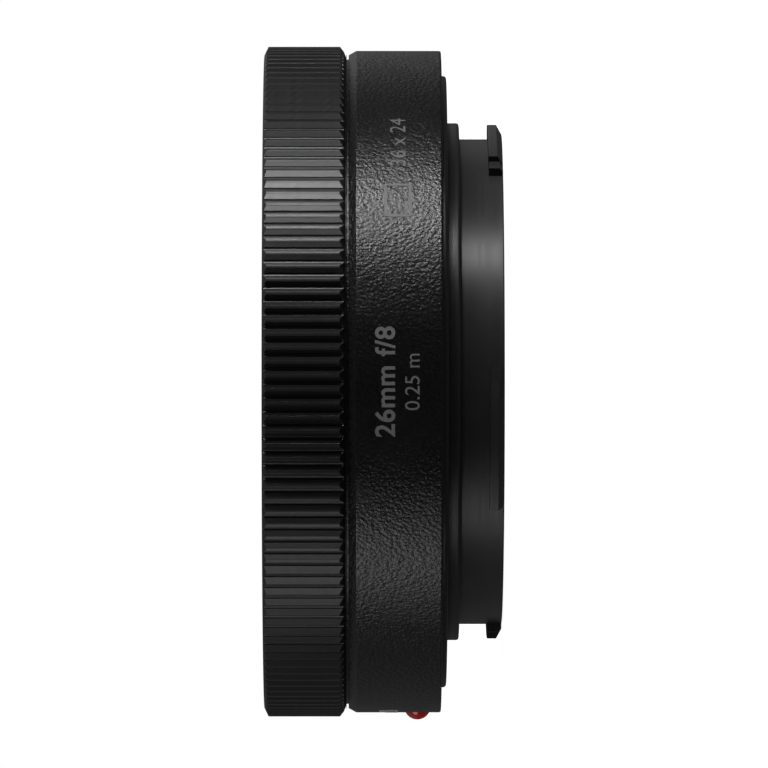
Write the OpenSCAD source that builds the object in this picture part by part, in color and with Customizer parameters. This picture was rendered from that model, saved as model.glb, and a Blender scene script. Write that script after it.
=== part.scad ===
/* [Focus ring] */
// Radius over the rib tips
ring_r = 33.7; // [33.6:0.05:34]
// Height of the front rim above the bayonet flange
front_z = 18.25; // [18.1:0.05:18.6]
// Number of ribs round the ring
rib_count = 156; // [120:2:170]
// Depth of the grooves between the ribs
rib_depth = 0.52; // [0.3:0.02:0.56]
// Turn from infinity to the nearest distance, in degrees
focus_turn = 90; // [60:5:95]
// How far the optical cell moves forward over that turn
focus_travel = 3.5; // [2.5:0.1:3.6]

/* [Barrel] */
// Radius of the grained barrel
body_r = 33.29; // [33:0.01:33.4]
// Front edge of the barrel above the flange
body_front = 9.8; // [9.7:0.05:9.9]
// Rear edge of the barrel above the flange
body_rear = 0.53; // [0.4:0.01:0.7]
// Gap between the barrel and the focus ring
ring_gap = 0.195; // [0.15:0.005:0.25]
// Radius of the red index bead
bead_r = 1.34; // [1:0.02:1.4]

/* [Bayonet] */
// Radius of the flange disc
flange_r = 30.77; // [30.5:0.01:30.9]
// Radius of the spigot that centres the lens in a camera's throat
spigot_r = 26.02; // [25.9:0.01:26.1]
// Length of the spigot
spigot_len = 1.26; // [1.1:0.01:1.3]
// Radius of the tube behind the spigot
tube_r = 24.4; // [24.2:0.05:24.6]
// Depth of the rear rim below the flange
tube_len = 5.57; // [5.4:0.01:5.7]
// Radius over the four lugs
lug_r = 25.86; // [25.7:0.01:26]
// Thickness of a lug along the axis
lug_t = 1.47; // [1.3:0.01:1.6]

/* [Optics] */
// Radius of the hole in the fixed stop
stop_hole_r = 1.6; // [1.2:0.05:2]
// Radius of the front element
front_glass_r = 5.5; // [5.3:0.05:5.52]

/* [Hidden] */
$fn = 128;

eps = 0.01;           // overlap of a cutter past the face it opens
fit = 0.05;           // radial play of a running fit
screw_r = 0.8;        // thread radius of the common screws
head_r = 1.5;         // their countersunk head
head_h = 0.75;

// bayonet and barrel, along the axis from the flange face
mount_t = 1.6;        // thickness of the flange disc
mount_bore_r = 22.8;
shim_t = 0.15;
mount_screw_r = 28.3; // circle of the mount screws
mount_screw_a = [40, 130, 220, 310];
floor_z = mount_t + shim_t;
floor_top = 3.2;
wall_in_r = 31.9;     // inside of the barrel's outer wall
bearing_r = 29.6;     // cylinder on which the focus hub turns
bearing_in_r = 27.3;
bearing_top = 11.2;
seal_r = 32.43;       // light-tight step inside the focus ring
seal_top = 10.9;
lug_spans = [[-119.3, -90], [-30, 0], [60.7, 90], [151, 184]];
ledge_spans = [[-90.5, -86.7], [-33, -29.5], [57.7, 61.2], [183.5, 187]];
ledge_r = 25.27;
lock_slot_a = 172;    // recess for a camera's lock pin
lock_slot_r = 28.3;
lock_pin_r = 1.45;

// guide tube, cam and rollers
cell_r = 13.95;
guide_in_r = cell_r + fit;
guide_out_r = 15.2;
guide_top = 15.6;
guide_bottom = 0.5;
guide_flange_r = 22.5;
guide_flange_top = 4.2;
guide_screw_r = 19.9;
cam_in_r = guide_out_r + fit;
cam_out_r = 16.9;
cam_bottom = 4.6;
web_bottom = 13.9;
web_top = 14.9;
roller_r = 0.95;
roller_z = 6.3;
slot_w = 2 * (roller_r + fit);
roller_a = [0, 120, 240];
cam_slot_w = slot_w + 0.06;
cam_end = 5;          // extra turn of a cam slot at each end, in degrees

// focus hub, ring and face
hub_in_r = bearing_r + fit;
hub_out_r = 30.8;
hub_bottom = 4;
hub_flange_bottom = 12.9;
hub_rim_r = 31.95;
shoulder_in_r = 28.2;
hub_flange_in_r = 28.95;
retainer_r = 28.8;
shoulder_z = [bearing_top + fit, 12];
web_screw_r = 30.8;
ring_screw_r = 29.65;
ring_in_r = 32;
ring_flange_top = 15.9;
ring_flange_in_r = 28;
face_r = 30.9;        // outside of the recessed face
face_outer_z = 17.6;
face_inner_z = 16.6;
face_inner_r = 20.1;
pin_r = 1;
pin_track_r = 24;
pin_a = 30;
pin_bottom = 9.5;
block_in_r = 22.6;
block_top = 11;

// optical cell
cell_bottom = -2.5;
cell_front = 14;
baffle_seat = 10.6;
glass_r = 4.6;        // elements 2 and 4
rear_glass_r = 8;

// ---- shapes used more than once -------------------------------------------

// a turned ring between two radii and two heights
module ring(r_in, r_out, z0, z1) {
    rotate_extrude() translate([r_in, z0]) square([r_out - r_in, z1 - z0]);
}

// copies its children round the axis
module around(angles) {
    for (a = angles) rotate([0, 0, a]) children();
}

// cylinder between two heights at a distance from the axis
module post(at_r, r, z0, z1) {
    translate([at_r, 0, z0]) cylinder(r = r, h = z1 - z0);
}

// countersunk screw lying along -Z from z = 0 (top of its head) to -len; its cone is a little
// shorter than the hole's, so that it can sit below the surface
module countersunk(r, head, head_len, len) {
    slot = 0.32;
    cone = head_len - 0.06;
    difference() {
        union() {
            translate([0, 0, -cone]) cylinder(r1 = r, r2 = head, h = cone);
            translate([0, 0, -len]) cylinder(r = r, h = len - cone + eps);
        }
        for (a = [0, 90]) rotate([0, 0, a])
            translate([-head * 0.62, -slot / 2, -head_len * 0.6]) cube([head * 1.24, slot, head_len]);
    }
}

// the matching hole: countersink and clearance or thread hole
module countersunk_hole(r, head, head_len, len) {
    translate([0, 0, -head_len]) cylinder(r1 = r, r2 = head, h = head_len);
    translate([0, 0, -eps]) cylinder(r = head, h = 1);
    translate([0, 0, -len]) cylinder(r = r, h = len);
}

// sagitta of a surface of radius R at a height r from the axis
function sag(R, r) = R - sqrt(R * R - r * r);

// glass element: front vertex height, thickness, edge radius, then radius of curvature and
// clear radius of each face; a positive R bulges outwards and a negative one is hollowed
module glass(front, t, r, R1, c1, R2, c2) {
    rear = front - t;
    top = R1 > 0 ? front : front + sag(-R1, c1);
    bottom = R2 > 0 ? rear : rear - sag(-R2, c2);
    difference() {
        intersection() {
            translate([0, 0, bottom]) cylinder(r = r, h = top - bottom);
            if (R1 > 0) translate([0, 0, front - R1]) sphere(r = R1);
            if (R2 > 0) translate([0, 0, rear + R2]) sphere(r = R2);
        }
        if (R1 < 0) translate([0, 0, front - R1]) sphere(r = -R1);
        if (R2 < 0) translate([0, 0, rear + R2]) sphere(r = -R2);
    }
}

// ---- fixed barrel ------------------------------------------------------------

function mount_outline() = [
    [mount_bore_r, -tube_len + 0.25], [mount_bore_r + 0.25, -tube_len],
    [tube_r - 0.12, -tube_len], [tube_r, -tube_len + 0.12], [tube_r, -spigot_len],
    [spigot_r - 0.25, -spigot_len], [spigot_r, -spigot_len + 0.25], [spigot_r, 0],
    for (a = [-90:15:0]) [flange_r - 0.3 + 0.3 * cos(a), 0.3 + 0.3 * sin(a)],
    [flange_r, mount_t], [mount_bore_r, mount_t]
];

// arc-shaped tab on the tube: outer radius, then how far its rear bevel reaches in along the
// radius and the axis, and how far its two flat faces stand in from the full lug's
module tab(span, r, bevel_r, bevel_z, inset) {
    top = -tube_len + lug_t - inset;
    bottom = -tube_len + 0.02 + inset;
    rotate([0, 0, span[0]]) rotate_extrude(angle = span[1] - span[0]) polygon([
        [tube_r - 0.5, top], [r, top], [r, bottom + bevel_z], [r - bevel_r, bottom],
        [tube_r - 0.5, bottom]
    ]);
}

module bayonet_mount() {
    color("dimgray") difference() {
        union() {
            rotate([0, 0, 17]) rotate_extrude() polygon(mount_outline());
            for (s = lug_spans) tab(s, lug_r, 0.97, 0.52, 0);
            for (s = ledge_spans) tab(s, ledge_r, 0.45, 0.28, 0.03);
        }
        around(mount_screw_a) translate([mount_screw_r, 0, 0]) mirror([0, 0, 1])
            countersunk_hole(screw_r, head_r, head_h, mount_t + 1);
        around([lock_slot_a - 1.6, lock_slot_a, lock_slot_a + 1.6])
            post(lock_slot_r, lock_pin_r, -1, 1.2);
    }
}

module mount_screws() {
    color("silver") around(mount_screw_a) translate([mount_screw_r, 0, 0.03]) mirror([0, 0, 1])
        countersunk(screw_r, head_r - 0.03, head_h, 5);
}

module mount_shim() {
    color("gold") difference() {
        ring(spigot_r, flange_r - 0.3, mount_t, floor_z);
        around(mount_screw_a) post(mount_screw_r, screw_r + 0.2, mount_t - 1, floor_z + 1);
    }
}

function barrel_outline() = [
    [guide_out_r + 0.1, floor_z], [flange_r + 0.08, floor_z], [flange_r + 0.08, body_rear],
    [body_r - 0.18, body_rear], [body_r - 0.05, body_rear + 0.05], [body_r, body_rear + 0.18],
    [body_r, body_front - 0.69], [body_r - 0.43, body_front], [seal_r, body_front],
    [seal_r, seal_top], [wall_in_r, seal_top], [wall_in_r, floor_top],
    [bearing_r, floor_top], [bearing_r, bearing_top], [bearing_in_r, bearing_top],
    [bearing_in_r, floor_top], [guide_out_r + 0.1, floor_top]
];

// angle that a pin of the stop track covers on one side, with the play at the stop
pin_half = asin((pin_r + fit) / pin_track_r);

// stop block with one radial face on the axis plane of its angle
module stop_block(a, side) {
    rotate([0, 0, a]) translate([block_in_r, side < 0 ? -3 : 0, floor_top - 0.5])
        cube([bearing_in_r + 0.5 - block_in_r, 3, block_top - floor_top + 0.5]);
}

module main_barrel() {
    color("#242424") difference() {
        union() {
            rotate_extrude() polygon(barrel_outline());
            stop_block(pin_a - pin_half, -1);
            stop_block(pin_a + focus_turn + pin_half, 1);
        }
        around(mount_screw_a) post(mount_screw_r, screw_r, 0, 5.1);
        around([60, 180, 300]) translate([guide_screw_r, 0, floor_z]) mirror([0, 0, 1])
            countersunk_hole(screw_r, head_r, head_h, 3);
        around([0, 120, 240]) post(baffle_screw_r, 0.6, 0, floor_top - 0.3);
        translate([-body_r - 1, 0, bead_z]) rotate([0, 90, 0])
            cylinder(r = bead_r + 0.02, h = 1 + bead_depth);
    }
}

bead_z = 2.87;
bead_proud = 0.73;
bead_depth = 1.1;     // depth of the bead's pocket below the barrel's surface
bead_centre = body_r + bead_proud - bead_r;

// a dome on a short round stem
module index_dot() {
    color("red") translate([-bead_centre, 0, bead_z]) rotate([0, 90, 0]) {
        difference() {
            sphere(r = bead_r);
            cylinder(r = 2 * bead_r, h = 2 * bead_r);
        }
        translate([0, 0, -eps]) cylinder(r = bead_r, h = bead_centre - body_r + bead_depth + eps);
    }
}

module guide_tube() {
    color("darkgray") difference() {
        rotate_extrude() polygon([
            [guide_in_r, guide_bottom], [guide_out_r, guide_bottom], [guide_out_r, floor_top],
            [guide_flange_r, floor_top], [guide_flange_r, guide_flange_top],
            [guide_out_r, guide_flange_top], [guide_out_r, guide_top], [guide_in_r, guide_top]
        ]);
        around(roller_a) {
            for (z = [roller_z - 0.3, roller_z + focus_travel + 0.3])
                translate([guide_in_r - 1, 0, z]) rotate([0, 90, 0]) cylinder(r = slot_w / 2, h = 3);
            translate([guide_in_r - 1, -slot_w / 2, roller_z - 0.3])
                cube([3, slot_w, focus_travel + 0.6]);
        }
        around([60, 180, 300]) post(guide_screw_r, screw_r, floor_top - 1, guide_flange_top + 1);
    }
}

module guide_screws() {
    color("silver") around([60, 180, 300]) translate([guide_screw_r, 0, floor_z + 0.03])
        mirror([0, 0, 1]) countersunk(screw_r, head_r - 0.03, head_h, 2.4);
}

baffle_r = mount_bore_r - 0.15;
baffle_wall = 0.8;
baffle_floor = -5.2;
baffle_steps = 4;
baffle_step_w = 2.8;
baffle_step_h = 0.42;
baffle_screw_r = 20.2;

// light trap: a cup whose floor climbs in steps to the round window
module rear_baffle() {
    step_r = baffle_r - baffle_wall;
    color("#1c1c1c") difference() {
        union() {
            rotate_extrude() polygon([
                [baffle_r, floor_z], [baffle_r, baffle_floor],
                for (i = [0:baffle_steps - 1]) each [
                    [step_r - i * baffle_step_w, baffle_floor + i * baffle_step_h],
                    [step_r - i * baffle_step_w, baffle_floor + (i + 1) * baffle_step_h]
                ],
                [step_r - baffle_steps * baffle_step_w, baffle_floor + baffle_steps * baffle_step_h],
                [step_r - baffle_steps * baffle_step_w, baffle_floor + baffle_steps * baffle_step_h + 0.5],
                [step_r - 3.5, baffle_floor + baffle_steps * baffle_step_h + 0.5],
                [step_r - 3.5, baffle_floor + 1.3], [step_r, baffle_floor + 1.3], [step_r, floor_z]
            ]);
            around([0, 120, 240]) post(baffle_screw_r, 1.5, baffle_floor + 1, floor_z);
        }
        around([0, 120, 240]) translate([baffle_screw_r, 0, baffle_floor])
            mirror([0, 0, 1]) countersunk_hole(0.6, 1.1, 0.5, 10);
    }
}

module baffle_screws() {
    color("silver") around([0, 120, 240]) translate([baffle_screw_r, 0, baffle_floor + 0.03])
        mirror([0, 0, 1]) countersunk(0.6, 1.08, 0.5, floor_top - 0.4 - baffle_floor);
}

wave_steps = 72;
wave_t = 0.2;
wave_amp = 0.14;
wave_mid = 3.45;

// flat wire ring bent into six waves, with its ends meeting
module wave_spring() {
    function height(i) = wave_mid + wave_amp * sin(6 * 360 * i / wave_steps);
    points = [for (i = [0:wave_steps - 1]) let (a = 360 * i / wave_steps, z = height(i)) each [
        [29.75 * cos(a), 29.75 * sin(a), z - wave_t / 2], [30.7 * cos(a), 30.7 * sin(a), z - wave_t / 2],
        [30.7 * cos(a), 30.7 * sin(a), z + wave_t / 2], [29.75 * cos(a), 29.75 * sin(a), z + wave_t / 2]
    ]];
    faces = [for (i = [0:wave_steps - 1], k = [0:3])
        let (j = (i + 1) % wave_steps, m = (k + 1) % 4) each [
            [4 * i + k, 4 * i + m, 4 * j + m], [4 * i + k, 4 * j + m, 4 * j + k]
        ]];
    color("lightgray") polyhedron(points = points, faces = [for (f = faces) [f[2], f[1], f[0]]]);
}

module thrust_washer() {
    color("white") ring(29.75, 30.7, 3.7, hub_bottom - fit);
}

module retaining_ring() {
    color("gray") difference() {
        rotate_extrude() polygon([
            [bearing_in_r, bearing_top], [shoulder_in_r - 0.15, bearing_top],
            [shoulder_in_r - 0.15, shoulder_z[1] + fit], [retainer_r, shoulder_z[1] + fit],
            [retainer_r, 12.7], [bearing_in_r, 12.7]
        ]);
        around([45, 225]) translate([bearing_in_r - 1, -0.5, 12.1]) cube([2.2, 1, 1]);
    }
}

index_ring_r = face_inner_r - 0.3;

index_seat_r = guide_out_r + 0.01;

module index_ring() {
    color("#202020") difference() {
        rotate_extrude() polygon([
            [cell_r + 0.2, guide_top], [index_seat_r, guide_top], [index_seat_r, 15.2],
            [16.3, 15.2], [16.3, guide_top], [index_ring_r, guide_top],
            [index_ring_r, face_inner_z - 0.2], [index_ring_r - 0.2, face_inner_z],
            [cell_r + 0.5, face_inner_z - 0.1], [cell_r + 0.2, face_inner_z - 0.4]
        ]);
        around([90, 270]) post(17.4, 0.4, face_inner_z - 0.7, face_inner_z + 1);
    }
}

// ---- turning with the focus ring ------------------------------------------------

rib_pitch = 360 / rib_count;

// outline across the ribs: a flat land, a flank down, a flat valley and a flank up
function rib_outline(tip, depth) = [for (i = [0:rib_count - 1], k = [0:3])
    let (at = [-0.09, 0.09, 0.38, 0.62][k], r = k < 2 ? tip : tip - depth, a = (i + at) * rib_pitch)
    [r * cos(a), r * sin(a)]];

ring_rear = body_front + ring_gap;
ring_chamfer = 0.605;    // rear bevel along the axis
ring_bevel_r = 0.92;     // and along the radius
ring_front_edge = 0.41;

// envelope that turns the ends of the ribs to their bevels
function ring_envelope() = [
    [seal_r + 0.12, ring_rear], [ring_r - ring_bevel_r, ring_rear],
    [ring_r, ring_rear + ring_chamfer], [ring_r, front_z - ring_front_edge],
    [ring_r - 0.85, front_z], [face_r + 0.25, front_z], [face_r, front_z - 0.25],
    [face_r, ring_flange_top], [ring_flange_in_r, ring_flange_top],
    [ring_flange_in_r, web_top], [ring_in_r, web_top], [ring_in_r, seal_top + 0.3],
    [seal_r + 0.12, seal_top + 0.3]
];

module focus_ring() {
    color("#161616") difference() {
        intersection() {
            rotate_extrude() polygon(ring_envelope());
            translate([0, 0, ring_rear - 1]) linear_extrude(front_z - ring_rear + 2)
                polygon(rib_outline(ring_r + 0.001, rib_depth));
        }
        around([15, 135, 255]) translate([ring_screw_r, 0, ring_flange_top])
            countersunk_hole(0.6, 1.1, 0.5, 3);
    }
}

module ring_screws() {
    color("silver") around([15, 135, 255])
        translate([ring_screw_r, 0, ring_flange_top - 0.03]) countersunk(0.6, 1.08, 0.5, 2.85);
}

module focus_hub() {
    color("silver") difference() {
        rotate_extrude() polygon([
            [hub_in_r, hub_bottom], [hub_out_r, hub_bottom], [hub_out_r, hub_flange_bottom],
            [hub_rim_r, hub_flange_bottom], [hub_rim_r, web_bottom], [hub_flange_in_r, web_bottom],
            [hub_flange_in_r, shoulder_z[1]], [shoulder_in_r, shoulder_z[1]],
            [shoulder_in_r, shoulder_z[0]], [hub_in_r, shoulder_z[0]]
        ]);
        around([45, 165, 285]) post(web_screw_r, 0.6, hub_flange_bottom - 1, web_top);
        around([15, 135, 255]) post(ring_screw_r, 0.6, hub_flange_bottom + 0.1, web_top);
    }
}

// one helical slot: a strip swept along the cam path, cut through the sleeve
module cam_slot() {
    steps = 24;
    turn = focus_turn + 2 * cam_end;
    inner = cam_in_r - 1;
    outer = cam_out_r + 1;
    slope = focus_travel / (focus_turn * PI / 180 * (cam_in_r + cam_out_r) / 2);
    half = cam_slot_w / 2 * sqrt(1 + slope * slope);
    points = [for (i = [0:steps]) let (
        a = cam_end - turn * i / steps,
        z = roller_z - focus_travel * a / focus_turn
    ) each [for (q = [[inner, -half], [outer, -half], [outer, half], [inner, half]])
        [q[0] * cos(a), q[0] * sin(a), z + q[1]]]];
    sides = [for (i = [0:steps - 1], k = [0:3]) let (m = (k + 1) % 4) each [
        [4 * i + 4 + m, 4 * i + m, 4 * i + k], [4 * i + 4 + k, 4 * i + 4 + m, 4 * i + k]
    ]];
    last = 4 * steps;
    polyhedron(points = points,
        faces = concat(sides, [[0, 1, 2, 3], [last + 3, last + 2, last + 1, last]]));
}

module cam_ring() {
    color("darkkhaki") difference() {
        rotate_extrude() polygon([
            [cam_in_r, cam_bottom], [cam_out_r, cam_bottom], [cam_out_r, web_bottom],
            [hub_rim_r, web_bottom], [hub_rim_r, web_top], [cam_in_r, web_top]
        ]);
        around(roller_a) cam_slot();
        around([45, 165, 285]) translate([web_screw_r, 0, web_top])
            countersunk_hole(0.6, 1.1, 0.5, 3);
        around([15, 135, 255]) post(ring_screw_r, 0.6, web_bottom - 1, web_top + 1);
        rotate([0, 0, pin_a]) post(pin_track_r, pin_r, web_bottom - 1, web_top + 1);
        around([75, 165, 255, 345]) post(22.5, 2.6, web_bottom - 1, web_top + 1);
    }
}

module cam_ring_screws() {
    color("silver") around([45, 165, 285]) translate([web_screw_r, 0, web_top - 0.03])
        countersunk(0.6, 1.08, 0.5, 1.9);
}

module stop_pin() {
    color("silver") rotate([0, 0, pin_a]) post(pin_track_r, pin_r, pin_bottom, web_top);
}

module scale_ring() {
    color("#1a1a1a") rotate_extrude() polygon([
        [face_inner_r, face_inner_z], [face_inner_r, face_inner_z - 0.6],
        [ring_flange_in_r + 0.2, ring_flange_top + 0.35], [ring_flange_in_r + 0.2, ring_flange_top],
        [face_r - 0.05, ring_flange_top], [face_r - 0.05, face_outer_z - 0.2],
        [face_r - 0.25, face_outer_z]
    ]);
}

// ---- optical cell, moving along the axis ---------------------------------------------

cell_outline = [
    [cell_r, cell_bottom], [cell_r, cell_front - 0.2], [cell_r - 0.2, cell_front],
    [12.7, cell_front], [12.7, baffle_seat], [12.35, baffle_seat], [12.35, 3.4], [7, 3.4],
    [7, 10.5], [front_glass_r + 0.1, 10.5], [front_glass_r + 0.1, 7.3], [glass_r + 0.1, 7.3],
    [glass_r + 0.1, 6.62], [3.7, 6.62], [3.7, 5.6], [2.4, 5.6], [2.4, 4.5], [4.3, 4.5],
    [4.3, 2], [glass_r + 0.1, 2], [glass_r + 0.1, 1.62], [rear_glass_r + 0.1, 1.62],
    [rear_glass_r + 0.1, cell_bottom]
];

module lens_cell() {
    color("#303030") difference() {
        rotate_extrude() polygon(cell_outline);
        around(roller_a) translate([12, 0, roller_z]) rotate([0, 90, 0]) cylinder(r = 0.5, h = 3);
    }
}

module cam_rollers() {
    color("gold") around(roller_a) translate([14.15, 0, roller_z]) rotate([0, 90, 0])
        difference() {
            cylinder(r = roller_r, h = 2.55);
            translate([0, 0, -1]) cylinder(r = 0.53, h = 5);
        }
}

module roller_screws() {
    color("silver") around(roller_a) translate([12.45, 0, roller_z]) rotate([0, 90, 0])
        difference() {
            union() {
                cylinder(r = 0.5, h = 4.4);
                translate([0, 0, 4.25]) cylinder(r = 0.85, h = 0.4);
            }
            translate([-0.6, -0.12, 4.45]) cube([1.2, 0.24, 1]);
        }
}

mouth_steps = 7;
mouth_z = 13.6;
mouth_r = 11.9;
throat_r = 5;
throat_z = 11;

// stepped light trap in front of the glass; its nose holds the front element
module front_baffle() {
    function step_r(i) = throat_r + (mouth_r - throat_r) * i / mouth_steps;
    function step_z(i) = throat_z + (mouth_z - throat_z) * i / mouth_steps;
    color("#1c1c1c") rotate_extrude() polygon([
        for (i = [0:mouth_steps - 1]) each [[step_r(i), step_z(i)], [step_r(i + 1), step_z(i)]],
        [mouth_r, mouth_z], [12.65, mouth_z], [12.65, baffle_seat],
        [front_glass_r + 0.05, baffle_seat], [front_glass_r + 0.05, 10.02], [throat_r, 10.02]
    ]);
}

module element_1() {
    color("lightblue") glass(10.9, 1, front_glass_r, 14, front_glass_r, -6, 4.2);
}

module spacer_1() {
    color("#1c1c1c") rotate_extrude() polygon([
        [4.3, 8.18], [front_glass_r + 0.05, 8.18], [front_glass_r + 0.05, 7.36], [4.3, 7.36]
    ]);
}

module element_2() {
    color("lightblue") glass(8.6, 2.3, glass_r, 8, glass_r, 20, glass_r);
}

module aperture_stop() {
    color("#101010") ring(stop_hole_r, 3.6, 5.6, 5.72);
}

module element_3() {
    color("lightblue") glass(4, 0.8, 4.2, -12, 3.4, -9, 3.4);
}

module spacer_2() {
    color("#1c1c1c") ring(3.5, 4.25, 2.1, 2.5);
}

module element_4() {
    color("lightblue") glass(2.7, 2.98, glass_r, 10, glass_r, 8, glass_r);
}

module spacer_3() {
    color("#1c1c1c") rotate_extrude() polygon([
        [glass_r + 0.05, 1.6], [rear_glass_r, 1.6], [rear_glass_r, 0.9], [glass_r + 0.05, 0.9],
        [glass_r + 0.05, 0.5], [4.2, 0.5], [4.2, 0.87], [glass_r + 0.05, 0.87 + 0.28]
    ]);
}

module element_5() {
    color("lightblue") glass(-1, 0.9, rear_glass_r, -9, 5.5, 18, rear_glass_r);
}

module rear_retainer() {
    color("#1c1c1c") difference() {
        ring(6.6, rear_glass_r + 0.09, cell_bottom, -0.72);
        around([0, 180]) translate([7.3, -0.5, cell_bottom - 1]) cube([2, 1, 1.5]);
    }
}

bayonet_mount();
mount_screws();
mount_shim();
main_barrel();
index_dot();
guide_tube();
guide_screws();
rear_baffle();
baffle_screws();
wave_spring();
thrust_washer();
retaining_ring();
index_ring();
focus_ring();
ring_screws();
focus_hub();
cam_ring();
cam_ring_screws();
stop_pin();
scale_ring();
lens_cell();
cam_rollers();
roller_screws();
front_baffle();
element_1();
spacer_1();
element_2();
aperture_stop();
element_3();
spacer_2();
element_4();
spacer_3();
element_5();
rear_retainer();
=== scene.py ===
import math

import bmesh
import bpy
from bpy.props import FloatProperty, FloatVectorProperty, IntProperty, PointerProperty
from bpy.types import Operator, Panel, PropertyGroup
from mathutils import Matrix, Vector


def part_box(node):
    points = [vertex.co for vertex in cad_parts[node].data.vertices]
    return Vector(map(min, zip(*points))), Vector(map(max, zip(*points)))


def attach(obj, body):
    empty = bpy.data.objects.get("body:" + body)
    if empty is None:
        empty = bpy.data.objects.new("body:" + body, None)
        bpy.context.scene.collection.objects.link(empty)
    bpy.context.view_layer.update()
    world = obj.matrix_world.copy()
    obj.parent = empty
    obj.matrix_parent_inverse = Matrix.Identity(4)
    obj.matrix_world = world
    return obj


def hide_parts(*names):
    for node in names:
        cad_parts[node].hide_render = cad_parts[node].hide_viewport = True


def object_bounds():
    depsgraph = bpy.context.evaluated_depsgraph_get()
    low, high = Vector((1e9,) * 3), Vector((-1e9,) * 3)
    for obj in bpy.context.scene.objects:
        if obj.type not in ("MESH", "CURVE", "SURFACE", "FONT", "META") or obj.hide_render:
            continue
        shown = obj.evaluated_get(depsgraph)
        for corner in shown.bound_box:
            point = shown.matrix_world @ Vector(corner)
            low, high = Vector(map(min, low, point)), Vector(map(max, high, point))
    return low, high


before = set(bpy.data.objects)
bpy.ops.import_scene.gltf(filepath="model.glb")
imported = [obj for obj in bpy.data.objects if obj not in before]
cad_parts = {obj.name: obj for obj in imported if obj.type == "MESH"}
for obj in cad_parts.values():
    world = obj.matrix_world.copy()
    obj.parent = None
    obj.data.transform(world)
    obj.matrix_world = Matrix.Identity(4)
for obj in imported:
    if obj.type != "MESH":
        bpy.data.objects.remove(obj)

CAD_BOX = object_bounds()

bl_info = {
    "name": "Pancake prime lens",
    "version": (1, 0, 0),
    "blender": (4, 5, 0),
    "location": "View3D > Sidebar > Lens",
    "description": "Builds the visible pieces, finishes and studio of a thin prime camera lens",
    "category": "Object",
}

MM = 0.001
TAU = 2 * math.pi
FACING = -90          # angle round the axis that faces the side-view camera, in degrees
BEAD_ANGLE = 180      # angle of the red index bead and of the focus index

# ---- sizes read from the frame, in millimetres ---------------------------------------------


def low(node):
    return [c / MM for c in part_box(node)[0]]


def high(node):
    return [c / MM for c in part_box(node)[1]]


RING_R = high("focus_ring")[1]
RING_REAR, RING_FRONT = low("focus_ring")[2], high("focus_ring")[2]
BODY_R, BODY_REAR = high("main_barrel")[1], low("main_barrel")[2]
FLANGE_R = high("bayonet_mount")[1]
RIM_Z = low("bayonet_mount")[2]
FACE_R, FACE_Z = high("scale_ring")[1], high("scale_ring")[2]
INDEX_R, INDEX_Z = high("index_ring")[1], high("index_ring")[2]
CELL_R, CELL_REAR, CELL_FRONT = high("lens_cell")[1], low("lens_cell")[2], high("lens_cell")[2]
TRAP_R, TRAP_REAR, TRAP_TOP = high("rear_baffle")[1], low("rear_baffle")[2], high("rear_baffle")[2]
MOUTH_R, MOUTH_REAR = high("front_baffle")[1], low("front_baffle")[2]
MOUTH_FRONT = high("front_baffle")[2]
BEAD_TIP, BEAD_LOW, BEAD_HIGH = -low("index_dot")[0], low("index_dot")[2], high("index_dot")[2]
MOUNT_TOP = high("bayonet_mount")[2]
BARREL_TOP = high("main_barrel")[2]

# sizes that no box gives, in millimetres, and angles in degrees
GAP = 0.21                    # between the focus ring and the barrel's front edge
RIB_PHASE = 0.985             # turn of the first rib
LEAST_R, LEAST_Z = 20.1, 16.6     # inner edge of the sloping scale plate
SPIGOT_R, SPIGOT_Z = 26.02, -1.26
TUBE_R, BORE_R = 24.4, 22.8
LUG_R, LUG_TOP = 25.86, -4.10
LEDGE_R, LEDGE_TOP = 25.27, -4.13     # of the small steps at the lugs' ends
LUGS = ((-119.3, -90.0), (-30.0, 0.0), (60.7, 90.0), (151.0, 184.0))
LEDGES = ((-90.5, -86.7), (-33.0, -29.5), (57.7, 61.2), (183.5, 187.0))
SCREW_CIRCLE, SCREW_FIRST = 28.3, 40
LOCK_PIN = (171.2, 173.4)     # ends of the recess for a camera's lock pin
TRAP_SCREW_CIRCLE = 20.2

# ---- settings ------------------------------------------------------------------------------


class LENS_PG_shape(PropertyGroup):
    rib_count: IntProperty(name="Ribs", description="Ribs round the focus ring", default=156,
                           min=60, max=240)
    rib_depth: FloatProperty(name="Rib depth", description="Depth of the grooves between ribs",
                             default=0.52 * MM, unit="LENGTH", precision=5)
    rib_flank: FloatProperty(name="Rib flank", description="Slope of a rib's sides, in degrees",
                             default=52, min=30, max=70)
    rib_edge: FloatProperty(name="Rib edge", description="Rounding of a rib's edges",
                            default=0.05 * MM, unit="LENGTH", precision=5)
    rib_hollow: FloatProperty(name="Rib hollow", description="Radius of the valley's floor",
                              default=0.24 * MM, unit="LENGTH", precision=5)
    steps: IntProperty(name="Steps", description="Sides of a turned piece", default=288,
                       min=64, max=512)


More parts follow.
